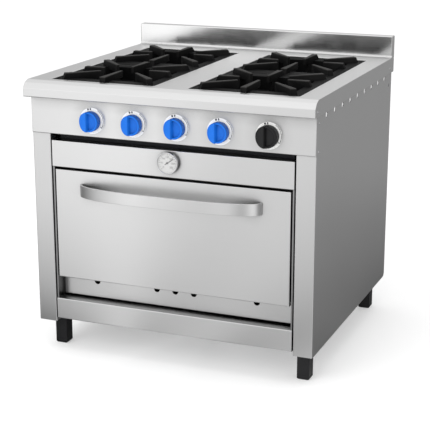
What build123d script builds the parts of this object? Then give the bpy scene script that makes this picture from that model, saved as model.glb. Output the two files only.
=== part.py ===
from build123d import *
import math
import os

# A free-standing gas range: four open burners over a drop-down-door oven, in stainless sheet.
# Millimetres. The floor is z = 0, the front faces -Y, and x = 0 is the middle of the range.

# Overall
range_width = 900.0
top_depth = 850.0
sheet = 1.5
side_overhang = 6.0
front_overhang = 39.0
cut_past = 1.0

# Heights, from the floor up
leg_height = 105.0
rail_height = 66.0
kick_show = 71.0
door_height = 339.0
door_top_gap = 7.0
header_height = 81.0
tray_slot = 20.0
panel_height = 113.0
lip_height = 48.0
splash_height = 70.0

# Front edge of the cooktop
lip_flat = 26.0
bevel_depth = 12.0
bevel_rise = 15.0
roll_depth = 17.0
lip_return = 33.0

# Backsplash
splash_depth = 30.0
splash_hem = 20.0
cove = 8.0

# Columns, side panels and the gaps beside the door
column_width = 59.0
column_return = 27.0
column_inner_return = 36.0
column_drop = 11.0
column_gap = 4.0
strip_width = 4.5
strip_setback = 3.0
door_side_gap = 4.5
panel_flange = 20.0
vent_count = 9
vent_radius = 8.0
vent_front = 86.0
vent_rear = 93.0
vent_below_lip = 10.0
service_hole_radius = 4.0
service_hole_inset = 33.0
service_hole_drop = 41.0

# Control panel, knobs and their dials
panel_proud = 4.0
panel_bottom_return = 28.0
knob_rise = 49.0
burner_knobs = 4
knob_left_margin = 201.0
knob_right_margin = 138.0
oven_knob_spacing = 146.0
knob_radius = 30.0
oven_knob_radius = 32.0
knob_skirt = 22.0
knob_rim = 5.0
knob_hollow = 6.0
knob_gap = 4.0
blade_rise = 6.0
blade_side = 6.0
blade_crest = 2.5
blade_foot = 8.0
blade_shoulder = 2.0
blade_tip = 1.5
dial_radius = 39.0
dial_thickness = 0.8
stem_radius = 4.0
stem_clearance = 0.05
stem_hole_radius = 7.0
stem_in_knob = 13.0
stem_end_gap = 1.0
push_travel = 3.0

# Gas train behind the panel
valve_width = 28.0
valve_height = 30.0
valve_length = 30.0
valve_setback = 15.0
valve_end_wall = 4.0
nipple_length = 6.0
nipple_radius = 8.0
manifold_radius = 13.0
supply_radius = 4.0
supply_rise = 13.0
supply_back = 75.0
supply_hole_radius = 8.0
oven_feed_end = 8.0
manifold_end = 28.0
inlet_radius = 10.48
inlet_length = 26.0
inlet_collar_radius = 16.0
inlet_collar_length = 5.0
feed_side = 40.0
feed_drop = 37.0
oven_feed_side = 2.0

# Grates and the windows that hold them
window_side = 64.0
window_width = 333.0
window_front = 55.0
window_corner = 5.0
least_corner = 0.5
ledge_width = 10.0
ledge_drop = 11.0
grate_clearance = 2.0
grate_depth = 343.0
grate_plate = 8.0
fin_center_back = 171.0
fin_proud = 14.0
fin_root = 18.0
fin_tip = 8.0
pit_half_x = 129.0
pit_half_y = 115.0
pit_corner = 38.0
skirt = 6.0
skirt_drop = 44.0
bowl_floor = 5.0
bowl_hole = 75.0
diagonal_inner = 83.0
diagonal_outer = 202.0
side_fin_inner = 75.0
side_fin_outer = 146.0
long_fin_inner = 38.0
long_fin_step = 62.0
long_fin_nose = 20.0
front_fin_outer = 167.0
front_fin_slope = 1.0
rear_fin_outer = 165.0
rear_fin_slope = 21.0
fin_end_slope = 8.0
slot_length = 50.0
slot_width = 6.0
slot_x = -75.0
slot_y = 165.0

# Burners
head_radius = 48.0
head_height = 20.0
cap_radius = 42.0
cap_height = 4.0
head_top_drop = 52.0
mix_radius = 12.0
mix_offset = 30.0
mix_drop = 38.0
mix_front = 88.0
bar_width = 25.0
bar_height = 20.0

# Drip tray and the shelf it slides on
tray_side_gap = 11.0
tray_length = 640.0
tray_height = 14.0
tray_wall = 1.2
tray_setback = 35.0
tray_rest_gap = 0.3

# Door
door_depth = 34.0
liner_sheet = 2.0
hinge_rise = 8.0
hinge_depth = 16.0
hinge_pin_radius = 4.0
hinge_pin_length = 26.0
hinge_collar_radius = 6.5
hinge_collar_length = 3.0
hinge_clearance = 0.06
seal_width = 10.0
seal_thickness = 3.7
seal_gap = 0.3
seal_inset = 24.0
frame_sheet = 2.0

# Handle
handle_reach = 56.0
handle_side = 84.0
handle_squareness = 3.0
handle_end_arcs = 2
handle_bar = 7.0
handle_height = 35.0
handle_drop = 56.5

# Thermometer in the header
gauge_rise = 46.0
gauge_radius = 33.0
gauge_proud = 16.0
gauge_flange = 8.0
gauge_step = 3.5
gauge_rim = 3.0
gauge_recess = 6.0
gauge_neck_radius = 14.0
gauge_neck_length = 24.0
gauge_dial_thickness = 1.0
lens_thickness = 1.4
needle_length = 23.0
needle_tail = 9.0
needle_width = 2.0
needle_thickness = 0.6
needle_hub_radius = 3.0
needle_shaft_radius = 1.0
needle_angle = 56.0
needle_gap = 1.0
needle_end = 1.0
gauge_fit = 0.1

# Oven
cavity_side = 71.0
cavity_depth = 560.0
cavity_rise = 43.0
cavity_drop = 21.0
floor_plate = 2.0
floor_ledge = 22.0
floor_slot_length = 90.0
floor_slot_width = 8.0
floor_slots = 4
floor_slot_inset = 46.0
floor_gap = 1.0
insulation = 45.0
guide_depth = 12.0
guide_thickness = 3.0
guide_length = 500.0
guide_levels = 3
guide_first = 75.0
guide_pitch = 70.0
rack_wire = 4.0
rack_rod = 2.2
rack_depth = 500.0
rack_rods = 15
rack_side_gap = 3.0
rack_front_gap = 20.0
rack_level = 1
rack_lift = 0.3
oven_burner_radius = 14.0
oven_burner_drop = 42.0
oven_burner_length = 430.0
burner_foot_inset = 42.0
burner_foot_width = 50.0
burner_foot_thickness = 3.0

# Bottom: kick panel, rail, base pan, legs and feet
kick_side_gap = 9.5
kick_tab_gap = 1.0
kick_gap = 5.0
kick_hole_radius = 9.5
kick_hole_drop = 22.0
kick_holes = (-260.0, -60.0, 0.0, 60.0, 260.0)
shelf_overlap = 8.0
shelf_slot_length = 14.0
shelf_slot_width = 4.0
shelf_slot_side = 18.0
shelf_slot_back = 16.0
pan_overlap = 2.5
leg_side = 38.0
leg_wall = 2.0
leg_plate = 60.0
leg_inset = 43.5
front_leg_back = 72.0
rear_leg_in = 73.0
foot_height = 12.0
foot_chamfer = 4.0
stud_radius = 5.0
stud_length = 45.0
stud_clearance = 0.05
plug_height = 8.0

# Back
back_inset = 30.0
flue_slots = 8
flue_slot_length = 60.0
flue_slot_width = 6.0
flue_slot_pitch = 80.0
flue_drop = 70.0

# Screws on the side returns and the side lips
screw_radius = 3.0
screw_head = 1.2
screw_shank_radius = 1.6
screw_hole_radius = 1.8
screw_length = 6.0
panel_screw_back = 21.0
panel_screw_low = 8.0
panel_screw_high = 90.0
lip_screw_front = 24.0
lip_screw_rear = 47.0
lip_screw_rise = 14.0

# Places worked out from the sizes above
rail_z = leg_height
rail_top = rail_z + rail_height
door_z = rail_top + kick_show
door_top = door_z + door_height
header_z = door_top + door_top_gap
header_top = header_z + header_height
panel_z = header_top + tray_slot
lip_z = panel_z + panel_height
top_z = lip_z + lip_height
half_width = range_width / 2
rear_y = (top_depth + max(handle_reach - front_overhang, 0)) / 2
front_y = rear_y - top_depth
face_y = front_y + front_overhang
panel_y = face_y - panel_proud
body_half = half_width - side_overhang
column_inner = body_half - column_width
header_half = column_inner - column_gap
strip_inner = header_half - strip_width
door_half = strip_inner - door_side_gap
frame_y = face_y + door_depth + seal_gap + seal_thickness
back_y = rear_y - back_inset
knob_z = panel_z + knob_rise
feed_z = knob_z - feed_drop
knob_first_x = knob_left_margin - body_half
oven_knob_x = body_half - knob_right_margin
knob_pitch = (oven_knob_x - oven_knob_spacing - knob_first_x) / (burner_knobs - 1)
knob_xs = [knob_first_x + i * knob_pitch for i in range(burner_knobs)] + [oven_knob_x]
feed_x = body_half - feed_side
oven_feed_x = header_half + oven_feed_side
knob_back_y = panel_y - knob_gap
window_x = half_width - window_side - window_width / 2
window_length = 2 * grate_depth + 3 * grate_clearance
window_y = front_y + window_front
ledge_z = top_z - ledge_drop
grate_top = ledge_z + grate_plate
fin_top = top_z + fin_proud
grate_half = window_width / 2 - grate_clearance
grate_y = [window_y + grate_clearance + i * (grate_depth + grate_clearance) for i in range(2)]
burner_y = [y + fin_center_back for y in grate_y]
head_top = fin_top - head_top_drop
mix_z = head_top - cap_height - head_height - mix_drop + mix_radius
mix_mouth_y = face_y + mix_front
cavity_half = header_half - cavity_side
cavity_z = door_z + cavity_rise
cavity_top = door_top - cavity_drop
cavity_y = frame_y + frame_sheet
cavity_back = cavity_y + cavity_depth
hinge_y = face_y + hinge_depth
hinge_z = door_z + hinge_rise
gauge_z = header_z + gauge_rise
handle_z = door_top - handle_drop
handle_half = door_half - handle_side
tray_half = header_half - tray_side_gap
tray_z = header_top + tray_rest_gap
guide_z = [cavity_z + guide_first + i * guide_pitch for i in range(guide_levels)]
kick_half = header_half - kick_side_gap
shelf_slot_x = header_half - shelf_slot_side
pan_z = rail_z + sheet
leg_x = body_half - leg_inset
leg_ys = [face_y + front_leg_back, rear_y - rear_leg_in]


def block(x0, x1, y0, y1, z0, z1):
    """A plain block between two corners."""
    return Pos((x0 + x1) / 2, (y0 + y1) / 2, (z0 + z1) / 2) * Box(x1 - x0, y1 - y0, z1 - z0)


def rod_x(x0, x1, y, z, radius):
    """A round rod along X."""
    return Pos((x0 + x1) / 2, y, z) * Rot(0, 90, 0) * Cylinder(radius, x1 - x0)


def rod_y(x, y0, y1, z, radius):
    """A round rod along Y."""
    return Pos(x, (y0 + y1) / 2, z) * Rot(90, 0, 0) * Cylinder(radius, y1 - y0)


def rod_z(x, y, z0, z1, radius):
    """A round rod along Z."""
    return Pos(x, y, (z0 + z1) / 2) * Cylinder(radius, z1 - z0)


def across(points, half):
    """A section in the Y-Z plane, drawn out to both sides of the middle."""
    return extrude(Plane.YZ * Polygon(*points, align=None), amount=half, both=True)


def other_side(piece):
    """The same piece on the opposite side of the range."""
    return mirror(piece, about=Plane.YZ)


def box_tube(x0, x1, y0, y1, z0, z1, wall):
    """A square tube that stands upright."""
    outer = block(x0, x1, y0, y1, z0, z1)
    return outer - block(x0 + wall, x1 - wall, y0 + wall, y1 - wall, z0, z1)


def joined_rods(points, radius):
    """Round tube through a list of square corners, with a ball at each corner."""
    tube = None
    for start, end in zip(points, points[1:]):
        x0, x1 = sorted((start[0], end[0]))
        y0, y1 = sorted((start[1], end[1]))
        z0, z1 = sorted((start[2], end[2]))
        if x1 > x0:
            run = rod_x(x0, x1, y0, z0, radius)
        elif y1 > y0:
            run = rod_y(x0, y0, y1, z0, radius)
        else:
            run = rod_z(x0, y0, z0, z1, radius)
        tube = run if tube is None else tube + run
    for corner in points[1:-1]:
        tube = tube + Pos(*corner) * Sphere(radius)
    return tube


# Cooktop and backsplash


def cooktop_section(inset):
    """The front-to-back section of the cooktop, drawn in by a sheet thickness."""
    slope = math.atan2(bevel_rise, bevel_depth)
    corner_in = inset * math.tan(slope / 2)
    roll = math.atan2(lip_height - lip_flat - bevel_rise, roll_depth)
    middle_in = inset * math.cos((slope + roll) / 2)
    middle_back = inset * math.sin((slope + roll) / 2)
    return [
        (front_y + inset, lip_z),
        (front_y + inset, lip_z + lip_flat - corner_in),
        (front_y + bevel_depth + middle_back, lip_z + lip_flat + bevel_rise - middle_in),
        (front_y + bevel_depth + roll_depth + inset * math.tan(roll / 2), top_z - inset),
        (rear_y - inset, top_z - inset),
        (rear_y - inset, lip_z),
    ]


def window(inset, z0, z1):
    """One grate window as a solid, drawn in by inset on every side."""
    size_x = window_width - 2 * inset
    size_y = window_length - 2 * inset
    outline = RectangleRounded(size_x, size_y, max(window_corner - inset, least_corner))
    return Pos(window_x, window_y + window_length / 2, z0) * extrude(outline, amount=z1 - z0)


def make_cooktop():
    shell = across(cooktop_section(0), half_width) - across(cooktop_section(sheet), half_width - sheet)
    lip = block(-half_width + sheet, half_width - sheet, front_y + sheet, front_y + lip_return,
                lip_z, lip_z + sheet)
    shell = shell + lip
    for side in (window(0, ledge_z - sheet, top_z), other_side(window(0, ledge_z - sheet, top_z))):
        shell = shell - side
    frame = window(-sheet, ledge_z - sheet, top_z - sheet) - window(0, ledge_z, top_z)
    frame = frame - window(ledge_width, ledge_z - sheet, top_z)
    shell = shell + frame + other_side(frame)
    for y in (front_y + lip_screw_front, rear_y - lip_screw_rear):
        hole = rod_x(half_width - 2 * sheet, half_width + sheet, y, lip_z + lip_screw_rise,
                     screw_hole_radius)
        shell = shell - hole - other_side(hole)
    return shell


def make_backsplash():
    y0 = rear_y - splash_depth
    z1 = top_z + splash_height
    front = block(-half_width, half_width, y0, y0 + sheet, top_z, z1)
    top = block(-half_width, half_width, y0, rear_y, z1 - sheet, z1)
    hem = block(-half_width, half_width, rear_y - sheet, rear_y, z1 - splash_hem, z1)
    end = block(half_width - sheet, half_width, y0, rear_y, top_z, z1)
    foot = across([(y0 - cove, top_z), (y0, top_z), (y0, top_z + cove)], half_width)
    return front + top + hem + end + other_side(end) + foot


# Outer body


def make_column():
    """The right front column: face, outer return and inner return."""
    z0 = rail_z - column_drop
    face = block(column_inner, body_half, face_y, face_y + sheet, z0, panel_z)
    outer = block(body_half - sheet, body_half, face_y, face_y + column_return, z0, panel_z)
    inner = block(column_inner, column_inner + sheet, face_y, face_y + column_inner_return,
                  z0, panel_z)
    return face + outer + inner


def make_side_panel():
    """The right side panel with its four flanges and its row of round vents."""
    y0 = face_y + column_return
    z0 = rail_z - column_drop
    z1 = top_z - sheet
    inner = body_half - sheet
    skin = block(inner, body_half, y0, rear_y - sheet, z0, z1)
    front = block(inner - panel_flange, inner, y0, y0 + sheet, rail_top, z1)
    rear = block(inner - panel_flange, inner, back_y, back_y + sheet, z0, z1)
    top = block(inner - panel_flange, inner, y0, back_y - sheet, z1 - sheet, z1)
    skin = skin + front + rear + top
    vent_z = lip_z - vent_below_lip
    first = face_y + vent_front
    pitch = (rear_y - vent_rear - first) / (vent_count - 1)
    for i in range(vent_count):
        y = first + i * pitch
        skin = skin - rod_x(inner - sheet, body_half + sheet, y, vent_z, vent_radius)
    hole = rod_x(inner - sheet, body_half + sheet, rear_y - service_hole_inset,
                 lip_z - service_hole_drop, service_hole_radius)
    return skin - hole


def make_back_panel():
    half = body_half - sheet
    z0 = pan_z + sheet
    panel = block(-half, half, back_y - sheet, back_y, z0, top_z - sheet)
    for i in range(flue_slots):
        x = (i - (flue_slots - 1) / 2) * flue_slot_pitch
        z = lip_z - flue_drop
        panel = panel - block(x - flue_slot_length / 2, x + flue_slot_length / 2,
                              back_y - 2 * sheet, back_y + sheet, z, z + flue_slot_width)
    return panel - rod_y(feed_x, back_y - 2 * sheet, back_y + sheet, feed_z, manifold_radius)


def make_control_panel():
    half = body_half
    z1 = lip_z
    face = block(-half, half, panel_y, panel_y + sheet, panel_z, z1)
    side = block(half - sheet, half, panel_y, face_y + column_return, panel_z, z1)
    bottom = block(-half, half, panel_y, panel_y + panel_bottom_return, panel_z, panel_z + sheet)
    top = block(-half, half, panel_y, panel_y + panel_bottom_return, z1 - sheet, z1)
    panel = face + side + other_side(side) + bottom + top
    for x in knob_xs:
        panel = panel - rod_y(x, panel_y - sheet, panel_y + 2 * sheet, knob_z, stem_hole_radius)
    for z in (panel_z + panel_screw_low, panel_z + panel_screw_high):
        hole = rod_x(half - 2 * sheet, half + sheet, face_y + panel_screw_back, z, screw_hole_radius)
        panel = panel - hole - other_side(hole)
    return panel


def make_dials():
    """The round plates behind the knobs."""
    dials = []
    for x in knob_xs:
        disc = rod_y(x, panel_y - dial_thickness, panel_y, knob_z, dial_radius)
        dials.append(disc - rod_y(x, panel_y - 2 * dial_thickness, panel_y + cut_past, knob_z,
                                  stem_hole_radius))
    return Compound(dials)


def make_screws():
    """The small screws on the panel returns and on the cooktop's side lips."""
    places = [(body_half, face_y + panel_screw_back, panel_z + panel_screw_low),
              (body_half, face_y + panel_screw_back, panel_z + panel_screw_high),
              (half_width, front_y + lip_screw_front, lip_z + lip_screw_rise),
              (half_width, rear_y - lip_screw_rear, lip_z + lip_screw_rise)]
    screws = []
    for x, y, z in places:
        head = rod_x(x, x + screw_head, y, z, screw_radius)
        shank = rod_x(x - screw_length, x, y, z, screw_shank_radius)
        screw = head + shank
        screws += [screw, other_side(screw)]
    return Compound(screws)


def make_header():
    face = block(-header_half, header_half, face_y, face_y + sheet, header_z, header_top)
    bottom = block(-header_half, header_half, face_y, frame_y + frame_sheet, header_z,
                   header_z + sheet)
    top = block(-header_half, header_half, face_y, frame_y, header_top - sheet, header_top)
    hole = rod_y(0, face_y - sheet, face_y + 2 * sheet, gauge_z, gauge_neck_radius)
    return face + bottom + top - hole


def make_rail():
    """The bottom rail: face, top shelf with its small slot, and bottom return."""
    face = block(-header_half, header_half, face_y, face_y + sheet, rail_z, rail_top)
    shelf = block(-header_half, header_half, face_y, frame_y + shelf_overlap, rail_top - sheet,
                  rail_top)
    foot = block(-header_half, header_half, face_y, frame_y + pan_overlap, rail_z, pan_z)
    slot_y = face_y + shelf_slot_back
    slot = block(shelf_slot_x - shelf_slot_length / 2, shelf_slot_x + shelf_slot_length / 2,
                 slot_y - shelf_slot_width / 2, slot_y + shelf_slot_width / 2,
                 rail_top - 2 * sheet, rail_top + sheet)
    return face + shelf + foot - slot


def make_kick_panel():
    z0 = rail_top + kick_gap
    z1 = door_z + hinge_rise
    y0 = frame_y
    panel = block(-kick_half, kick_half, y0, y0 + sheet, z0, z1)
    panel = panel + block(-kick_half, kick_half, y0, y0 + panel_flange, z0, z0 + sheet)
    for x in kick_holes:
        panel = panel - rod_y(x, y0 - sheet, y0 + 2 * sheet, z1 - kick_hole_drop, kick_hole_radius)
    return panel


def make_base_pan():
    half = body_half - sheet
    y0 = frame_y
    pan = block(-half, half, y0, back_y, pan_z, pan_z + sheet)
    wall = block(half - sheet, half, y0, back_y - sheet, pan_z, pan_z + panel_flange)
    return pan + wall + other_side(wall)


def leg_places():
    return [(side * leg_x, y) for y in leg_ys for side in (-1, 1)]


def make_legs():
    """Four square legs, each with a top plate and a bored plug for its foot."""
    legs = []
    for x, y in leg_places():
        h = leg_side / 2
        tube = box_tube(x - h, x + h, y - h, y + h, foot_height, pan_z - leg_wall, leg_wall)
        plate = block(x - leg_plate / 2, x + leg_plate / 2, y - leg_plate / 2, y + leg_plate / 2,
                      pan_z - leg_wall, pan_z)
        plug = block(x - h + leg_wall, x + h - leg_wall, y - h + leg_wall, y + h - leg_wall,
                     foot_height, foot_height + plug_height)
        bore = rod_z(x, y, foot_height - cut_past, foot_height + plug_height + cut_past,
                     stud_radius + stud_clearance)
        legs.append(tube + plate + plug - bore)
    return Compound(legs)


def make_foot(x, y):
    """A square foot pad with a chamfered lower edge, on a stud that runs in the leg's plug."""
    h = leg_side / 2
    pad = block(x - h, x + h, y - h, y + h, 0, foot_height)
    pad = chamfer(pad.faces().sort_by(Axis.Z)[0].edges(), foot_chamfer)
    return pad + rod_z(x, y, foot_height, foot_height + stud_length, stud_radius)


# Oven


def make_frame():
    """The ring round the oven mouth, with a narrow strip down each side of the door."""
    z0 = door_z + hinge_rise
    ring = block(-header_half, header_half, frame_y, cavity_y, z0, header_z)
    ring = ring - block(-cavity_half, cavity_half, frame_y - cut_past, cavity_y + cut_past, cavity_z,
                        cavity_top)
    strip = block(strip_inner, header_half, face_y + strip_setback, frame_y, rail_top, header_z)
    tab = block(kick_half + kick_tab_gap, header_half, frame_y, cavity_y, rail_top, z0)
    strip = strip + tab
    bore = rod_x(strip_inner - cut_past, header_half + cut_past, hinge_y, hinge_z,
                 hinge_pin_radius + hinge_clearance)
    strip = strip - bore
    return ring + strip + other_side(strip)


def make_seal():
    """The woven seal round the oven mouth, on the frame."""
    y0 = face_y + door_depth + seal_gap
    x1 = cavity_half + seal_inset
    z0 = cavity_z - seal_inset + seal_width
    z1 = cavity_top + seal_inset - seal_width
    ring = block(-x1, x1, y0, frame_y, z0 - seal_width, z1 + seal_width)
    hole = block(-x1 + seal_width, x1 - seal_width, y0 - cut_past, frame_y + cut_past, z0,
                 z1)
    return ring - hole


def make_wrap():
    """Sides and roof of the oven, folded from one sheet, with a ledge for the floor plate."""
    x1 = cavity_half + sheet
    side = block(cavity_half, x1, cavity_y, cavity_back, cavity_z - sheet, cavity_top + sheet)
    roof = block(-x1, x1, cavity_y, cavity_back, cavity_top, cavity_top + sheet)
    ledge = block(cavity_half - floor_ledge, cavity_half, cavity_y, cavity_back, cavity_z - sheet,
                  cavity_z)
    return roof + side + other_side(side) + ledge + other_side(ledge)


def make_oven_back():
    x1 = cavity_half + sheet
    return block(-x1, x1, cavity_back, cavity_back + sheet, cavity_z - sheet, cavity_top + sheet)


def make_oven_floor():
    """The lift-out floor plate, with slots along both sides for the heat."""
    plate = block(-cavity_half + floor_gap, cavity_half - floor_gap, cavity_y + floor_gap,
                  cavity_back - floor_gap, cavity_z, cavity_z + floor_plate)
    pitch = cavity_depth / floor_slots
    x = cavity_half - floor_slot_inset
    for i in range(floor_slots):
        y = cavity_y + (i + 0.5) * pitch
        slot = block(x - floor_slot_width / 2, x + floor_slot_width / 2, y - floor_slot_length / 2,
                     y + floor_slot_length / 2, cavity_z - cut_past, cavity_z + floor_plate + cut_past)
        plate = plate - slot - other_side(slot)
    return plate


def make_insulation():
    """Blanket over the roof, the sides and the back of the oven."""
    x0 = cavity_half + sheet
    z0 = cavity_z - sheet
    z1 = cavity_top + sheet
    y1 = cavity_back + sheet
    blanket = block(-x0 - insulation, x0 + insulation, cavity_y, y1 + insulation, z0, z1 + insulation)
    return blanket - block(-x0, x0, cavity_y - cut_past, y1, z0 - cut_past, z1)


def make_guides():
    """Rack guides on both side walls."""
    y0 = cavity_y + rack_front_gap
    guides = []
    for z in guide_z:
        bar = block(cavity_half - guide_depth, cavity_half, y0, y0 + guide_length, z,
                    z + guide_thickness)
        guides += [bar, other_side(bar)]
    return Compound(guides)


def make_rack():
    """Wire rack: a round-wire frame with thinner rods front to back."""
    half = cavity_half - rack_side_gap - rack_wire
    y0 = cavity_y + rack_front_gap + rack_wire
    y1 = y0 + rack_depth - 2 * rack_wire
    z = guide_z[rack_level] + guide_thickness + rack_wire + rack_lift
    rack = joined_rods([(-half, y0, z), (half, y0, z), (half, y1, z), (-half, y1, z), (-half, y0, z),
                        (half, y0, z)], rack_wire)
    for i in range(rack_rods):
        x = -half + (i + 1) * 2 * half / (rack_rods + 1)
        rack = rack + rod_y(x, y0, y1, z, rack_rod)
    return rack


def make_oven_burner():
    """Tube burner under the oven floor, on two feet that stand on the base pan."""
    z = cavity_z - oven_burner_drop
    y0 = frame_y + panel_flange + 2 * oven_burner_radius
    y1 = y0 + oven_burner_length
    burner = rod_y(0, y0, y1, z, oven_burner_radius)
    for y in (y0 + burner_foot_inset, y1 - burner_foot_inset):
        burner = burner + block(-burner_foot_width / 2, burner_foot_width / 2, y,
                                y + burner_foot_thickness, pan_z + sheet, z)
    return burner


def make_tray_shelf():
    """Shelf over the oven for the drip tray, with a hole for the oven's gas tube."""
    half = body_half - sheet
    shelf = block(-half, half, frame_y, back_y - sheet, header_top - sheet, header_top)
    return shelf - rod_z(oven_feed_x, face_y + supply_back, header_top - 2 * sheet,
                         header_top + sheet, supply_hole_radius)


def make_tray():
    """The shallow drip tray that pulls out through the slot under the panel."""
    y0 = face_y + tray_setback
    tray = block(-tray_half, tray_half, y0, y0 + tray_length, tray_z, tray_z + tray_height)
    return tray - block(-tray_half + tray_wall, tray_half - tray_wall, y0 + tray_wall,
                        y0 + tray_length - tray_wall, tray_z + tray_wall, tray_z + tray_height + cut_past)


# Door


def make_door_skin():
    """Outer skin with returns on all four sides."""
    skin = block(-door_half, door_half, face_y, face_y + door_depth - liner_sheet, door_z, door_top)
    inside = block(-door_half + sheet, door_half - sheet, face_y + sheet, face_y + door_depth,
                   door_z + sheet, door_top - sheet)
    skin = skin - inside
    return skin - rod_x(-door_half - cut_past, door_half + cut_past, hinge_y, hinge_z, hinge_pin_radius)


def make_door_liner():
    y1 = face_y + door_depth
    return block(-door_half, door_half, y1 - liner_sheet, y1, door_z, door_top)


def make_door_blanket():
    y1 = face_y + door_depth - liner_sheet
    z0 = hinge_z + hinge_collar_radius + sheet
    return block(-door_half + sheet, door_half - sheet, face_y + sheet, y1, z0, door_top - sheet)


def make_hinge_pins():
    """The pins on which the door turns, held in the door's side returns."""
    end = header_half - sheet / 2
    pin = rod_x(end - hinge_pin_length, end, hinge_y, hinge_z, hinge_pin_radius)
    collar = rod_x(door_half - sheet - hinge_collar_length, door_half - sheet, hinge_y, hinge_z,
                   hinge_collar_radius)
    pin = pin + collar
    return Compound([pin, other_side(pin)])


def bowed_face(half, reach):
    """The area between the door and one side of the handle's bar, seen from above."""
    last = 2 * handle_end_arcs + 2
    points = []
    for step in (*range(-last, -1), 0, *range(2, last + 1)):
        turn = math.pi / 2 * step / last
        share = abs(math.sin(turn)) ** (2 / handle_squareness)
        points.append((math.copysign(half * share, step), reach * math.cos(turn)))
    curve = [ThreePointArc(*points[i:i + 3]) for i in range(0, len(points) - 1, 2)]
    return make_face([*curve, Line(points[-1], points[0])])


def make_handle():
    """Flat bar, bowed away from the door and turned back to it at both ends."""
    section = bowed_face(handle_half, handle_reach)
    section = section - bowed_face(handle_half - handle_bar, handle_reach - handle_bar)
    bar = extrude(section, amount=handle_height)
    place = Pos(0, face_y, handle_z) * Rot(180, 0, 0) * Pos(0, 0, -handle_height / 2)
    return place * bar


# Thermometer


def make_gauge_case():
    """Round case: a flange with a raised rim, a narrower body and a neck through the header."""
    front = face_y - gauge_proud
    case = rod_y(0, front, front + gauge_flange, gauge_z, gauge_radius)
    case = case + rod_y(0, front + gauge_flange, face_y, gauge_z, gauge_radius - gauge_step)
    case = case - rod_y(0, front - cut_past, front + gauge_recess, gauge_z, gauge_radius - gauge_rim)
    neck = rod_y(0, face_y, face_y + gauge_neck_length, gauge_z, gauge_neck_radius)
    bore = rod_y(0, front, face_y, gauge_z, needle_shaft_radius + stem_clearance)
    return case + neck - bore


def make_gauge_dial():
    y1 = face_y - gauge_proud + gauge_recess
    dial = rod_y(0, y1 - gauge_dial_thickness, y1, gauge_z, gauge_radius - gauge_rim - gauge_fit)
    return dial - rod_y(0, y1 - 2 * gauge_dial_thickness, y1 + cut_past, gauge_z,
                        needle_shaft_radius + stem_clearance)


def make_gauge_lens():
    y0 = face_y - gauge_proud
    return rod_y(0, y0, y0 + lens_thickness, gauge_z, gauge_radius - gauge_rim - gauge_fit)


def make_needle():
    """Pointer on a thin shaft, turned clockwise from straight up."""
    y1 = face_y - gauge_proud + gauge_recess - gauge_dial_thickness - needle_gap
    y0 = y1 - needle_thickness
    blade = block(-needle_width / 2, needle_width / 2, y0, y1, -needle_tail, needle_length)
    blade = Pos(0, 0, gauge_z) * Rot(0, needle_angle, 0) * blade
    hub = rod_y(0, y0, y1, gauge_z, needle_hub_radius)
    shaft = rod_y(0, y0, face_y - needle_end, gauge_z, needle_shaft_radius)
    return blade + hub + shaft


# Knobs and gas train


def make_stem(x):
    """Valve stem: it turns and pushes in with its knob."""
    y0 = knob_back_y - stem_in_knob
    y1 = face_y + valve_setback + valve_length - valve_end_wall - push_travel - stem_end_gap
    return rod_y(x, y0, y1, knob_z, stem_radius)


def make_knob(x, radius):
    """Round skirt with a slanting blade across its face and a half-round hollow beside it."""
    top = knob_skirt + blade_rise
    floor = knob_skirt - knob_hollow
    hollow = rod_z(0, 0, floor, top, radius - knob_rim)
    skirt = rod_z(0, 0, 0, knob_skirt, radius) - hollow
    section = Polygon((-radius, 0), (-radius, knob_skirt - blade_shoulder),
                      (-blade_side - blade_crest, top), (-blade_side, top),
                      (blade_foot - blade_side, floor), (blade_foot - blade_side, 0), align=None)
    blade = extrude(Plane.XZ * section, amount=radius + blade_tip, both=True)
    knob = skirt + (blade & rod_z(0, -blade_tip, 0, top, radius))
    knob = knob - rod_z(0, 0, 0, stem_in_knob, stem_radius + stem_clearance)
    return Pos(x, knob_back_y, knob_z) * Rot(90, 0, 0) * knob


def make_valves():
    """Five valve bodies, each bored for its stem."""
    valves = []
    y0 = face_y + valve_setback
    y1 = y0 + valve_length
    for x in knob_xs:
        body = block(x - valve_width / 2, x + valve_width / 2, y0, y1, knob_z - valve_height / 2,
                     knob_z + valve_height / 2)
        valves.append(body - rod_y(x, y0 - cut_past, y1 - valve_end_wall, knob_z,
                                   stem_radius + stem_clearance))
    return Compound(valves)


def make_tubes():
    """The outlet tube of each valve, which ends at the mouth of its burner's mixing tube."""
    tubes = []
    mid_y = face_y + valve_setback + valve_length / 2
    tube_z = knob_z + valve_height / 2 + supply_rise
    turn_y = face_y + supply_back
    mouths = [-window_x - mix_offset, -window_x + mix_offset, window_x - mix_offset,
              window_x + mix_offset]
    for i, x in enumerate(knob_xs):
        if i < burner_knobs:
            corners = [(x, mid_y, knob_z + valve_height / 2), (x, mid_y, tube_z),
                       (x, turn_y, tube_z), (mouths[i], turn_y, tube_z), (mouths[i], turn_y, mix_z),
                       (mouths[i], mix_mouth_y + mix_radius, mix_z)]
        else:
            low_z = cavity_z - oven_burner_drop
            corners = [(x, mid_y, knob_z - valve_height / 2), (x, mid_y, panel_z + supply_rise),
                       (x, turn_y, panel_z + supply_rise),
                       (oven_feed_x, turn_y, panel_z + supply_rise),
                       (oven_feed_x, turn_y, low_z), (0, turn_y, low_z),
                       (0, turn_y + oven_feed_end, low_z)]
        tubes.append(joined_rods(corners, supply_radius))
    return Compound(tubes)


def make_manifold():
    """Gas pipe behind the valves, taken along the right side to the back."""
    y0 = face_y + valve_setback + valve_length
    y = y0 + nipple_length + manifold_radius
    pipe = joined_rods([(knob_xs[0] - manifold_end, y, knob_z), (feed_x, y, knob_z),
                        (feed_x, y, feed_z), (feed_x, back_y, feed_z)], manifold_radius)
    for x in knob_xs:
        pipe = pipe + rod_y(x, y0, y, knob_z, nipple_radius)
    return pipe


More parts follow.
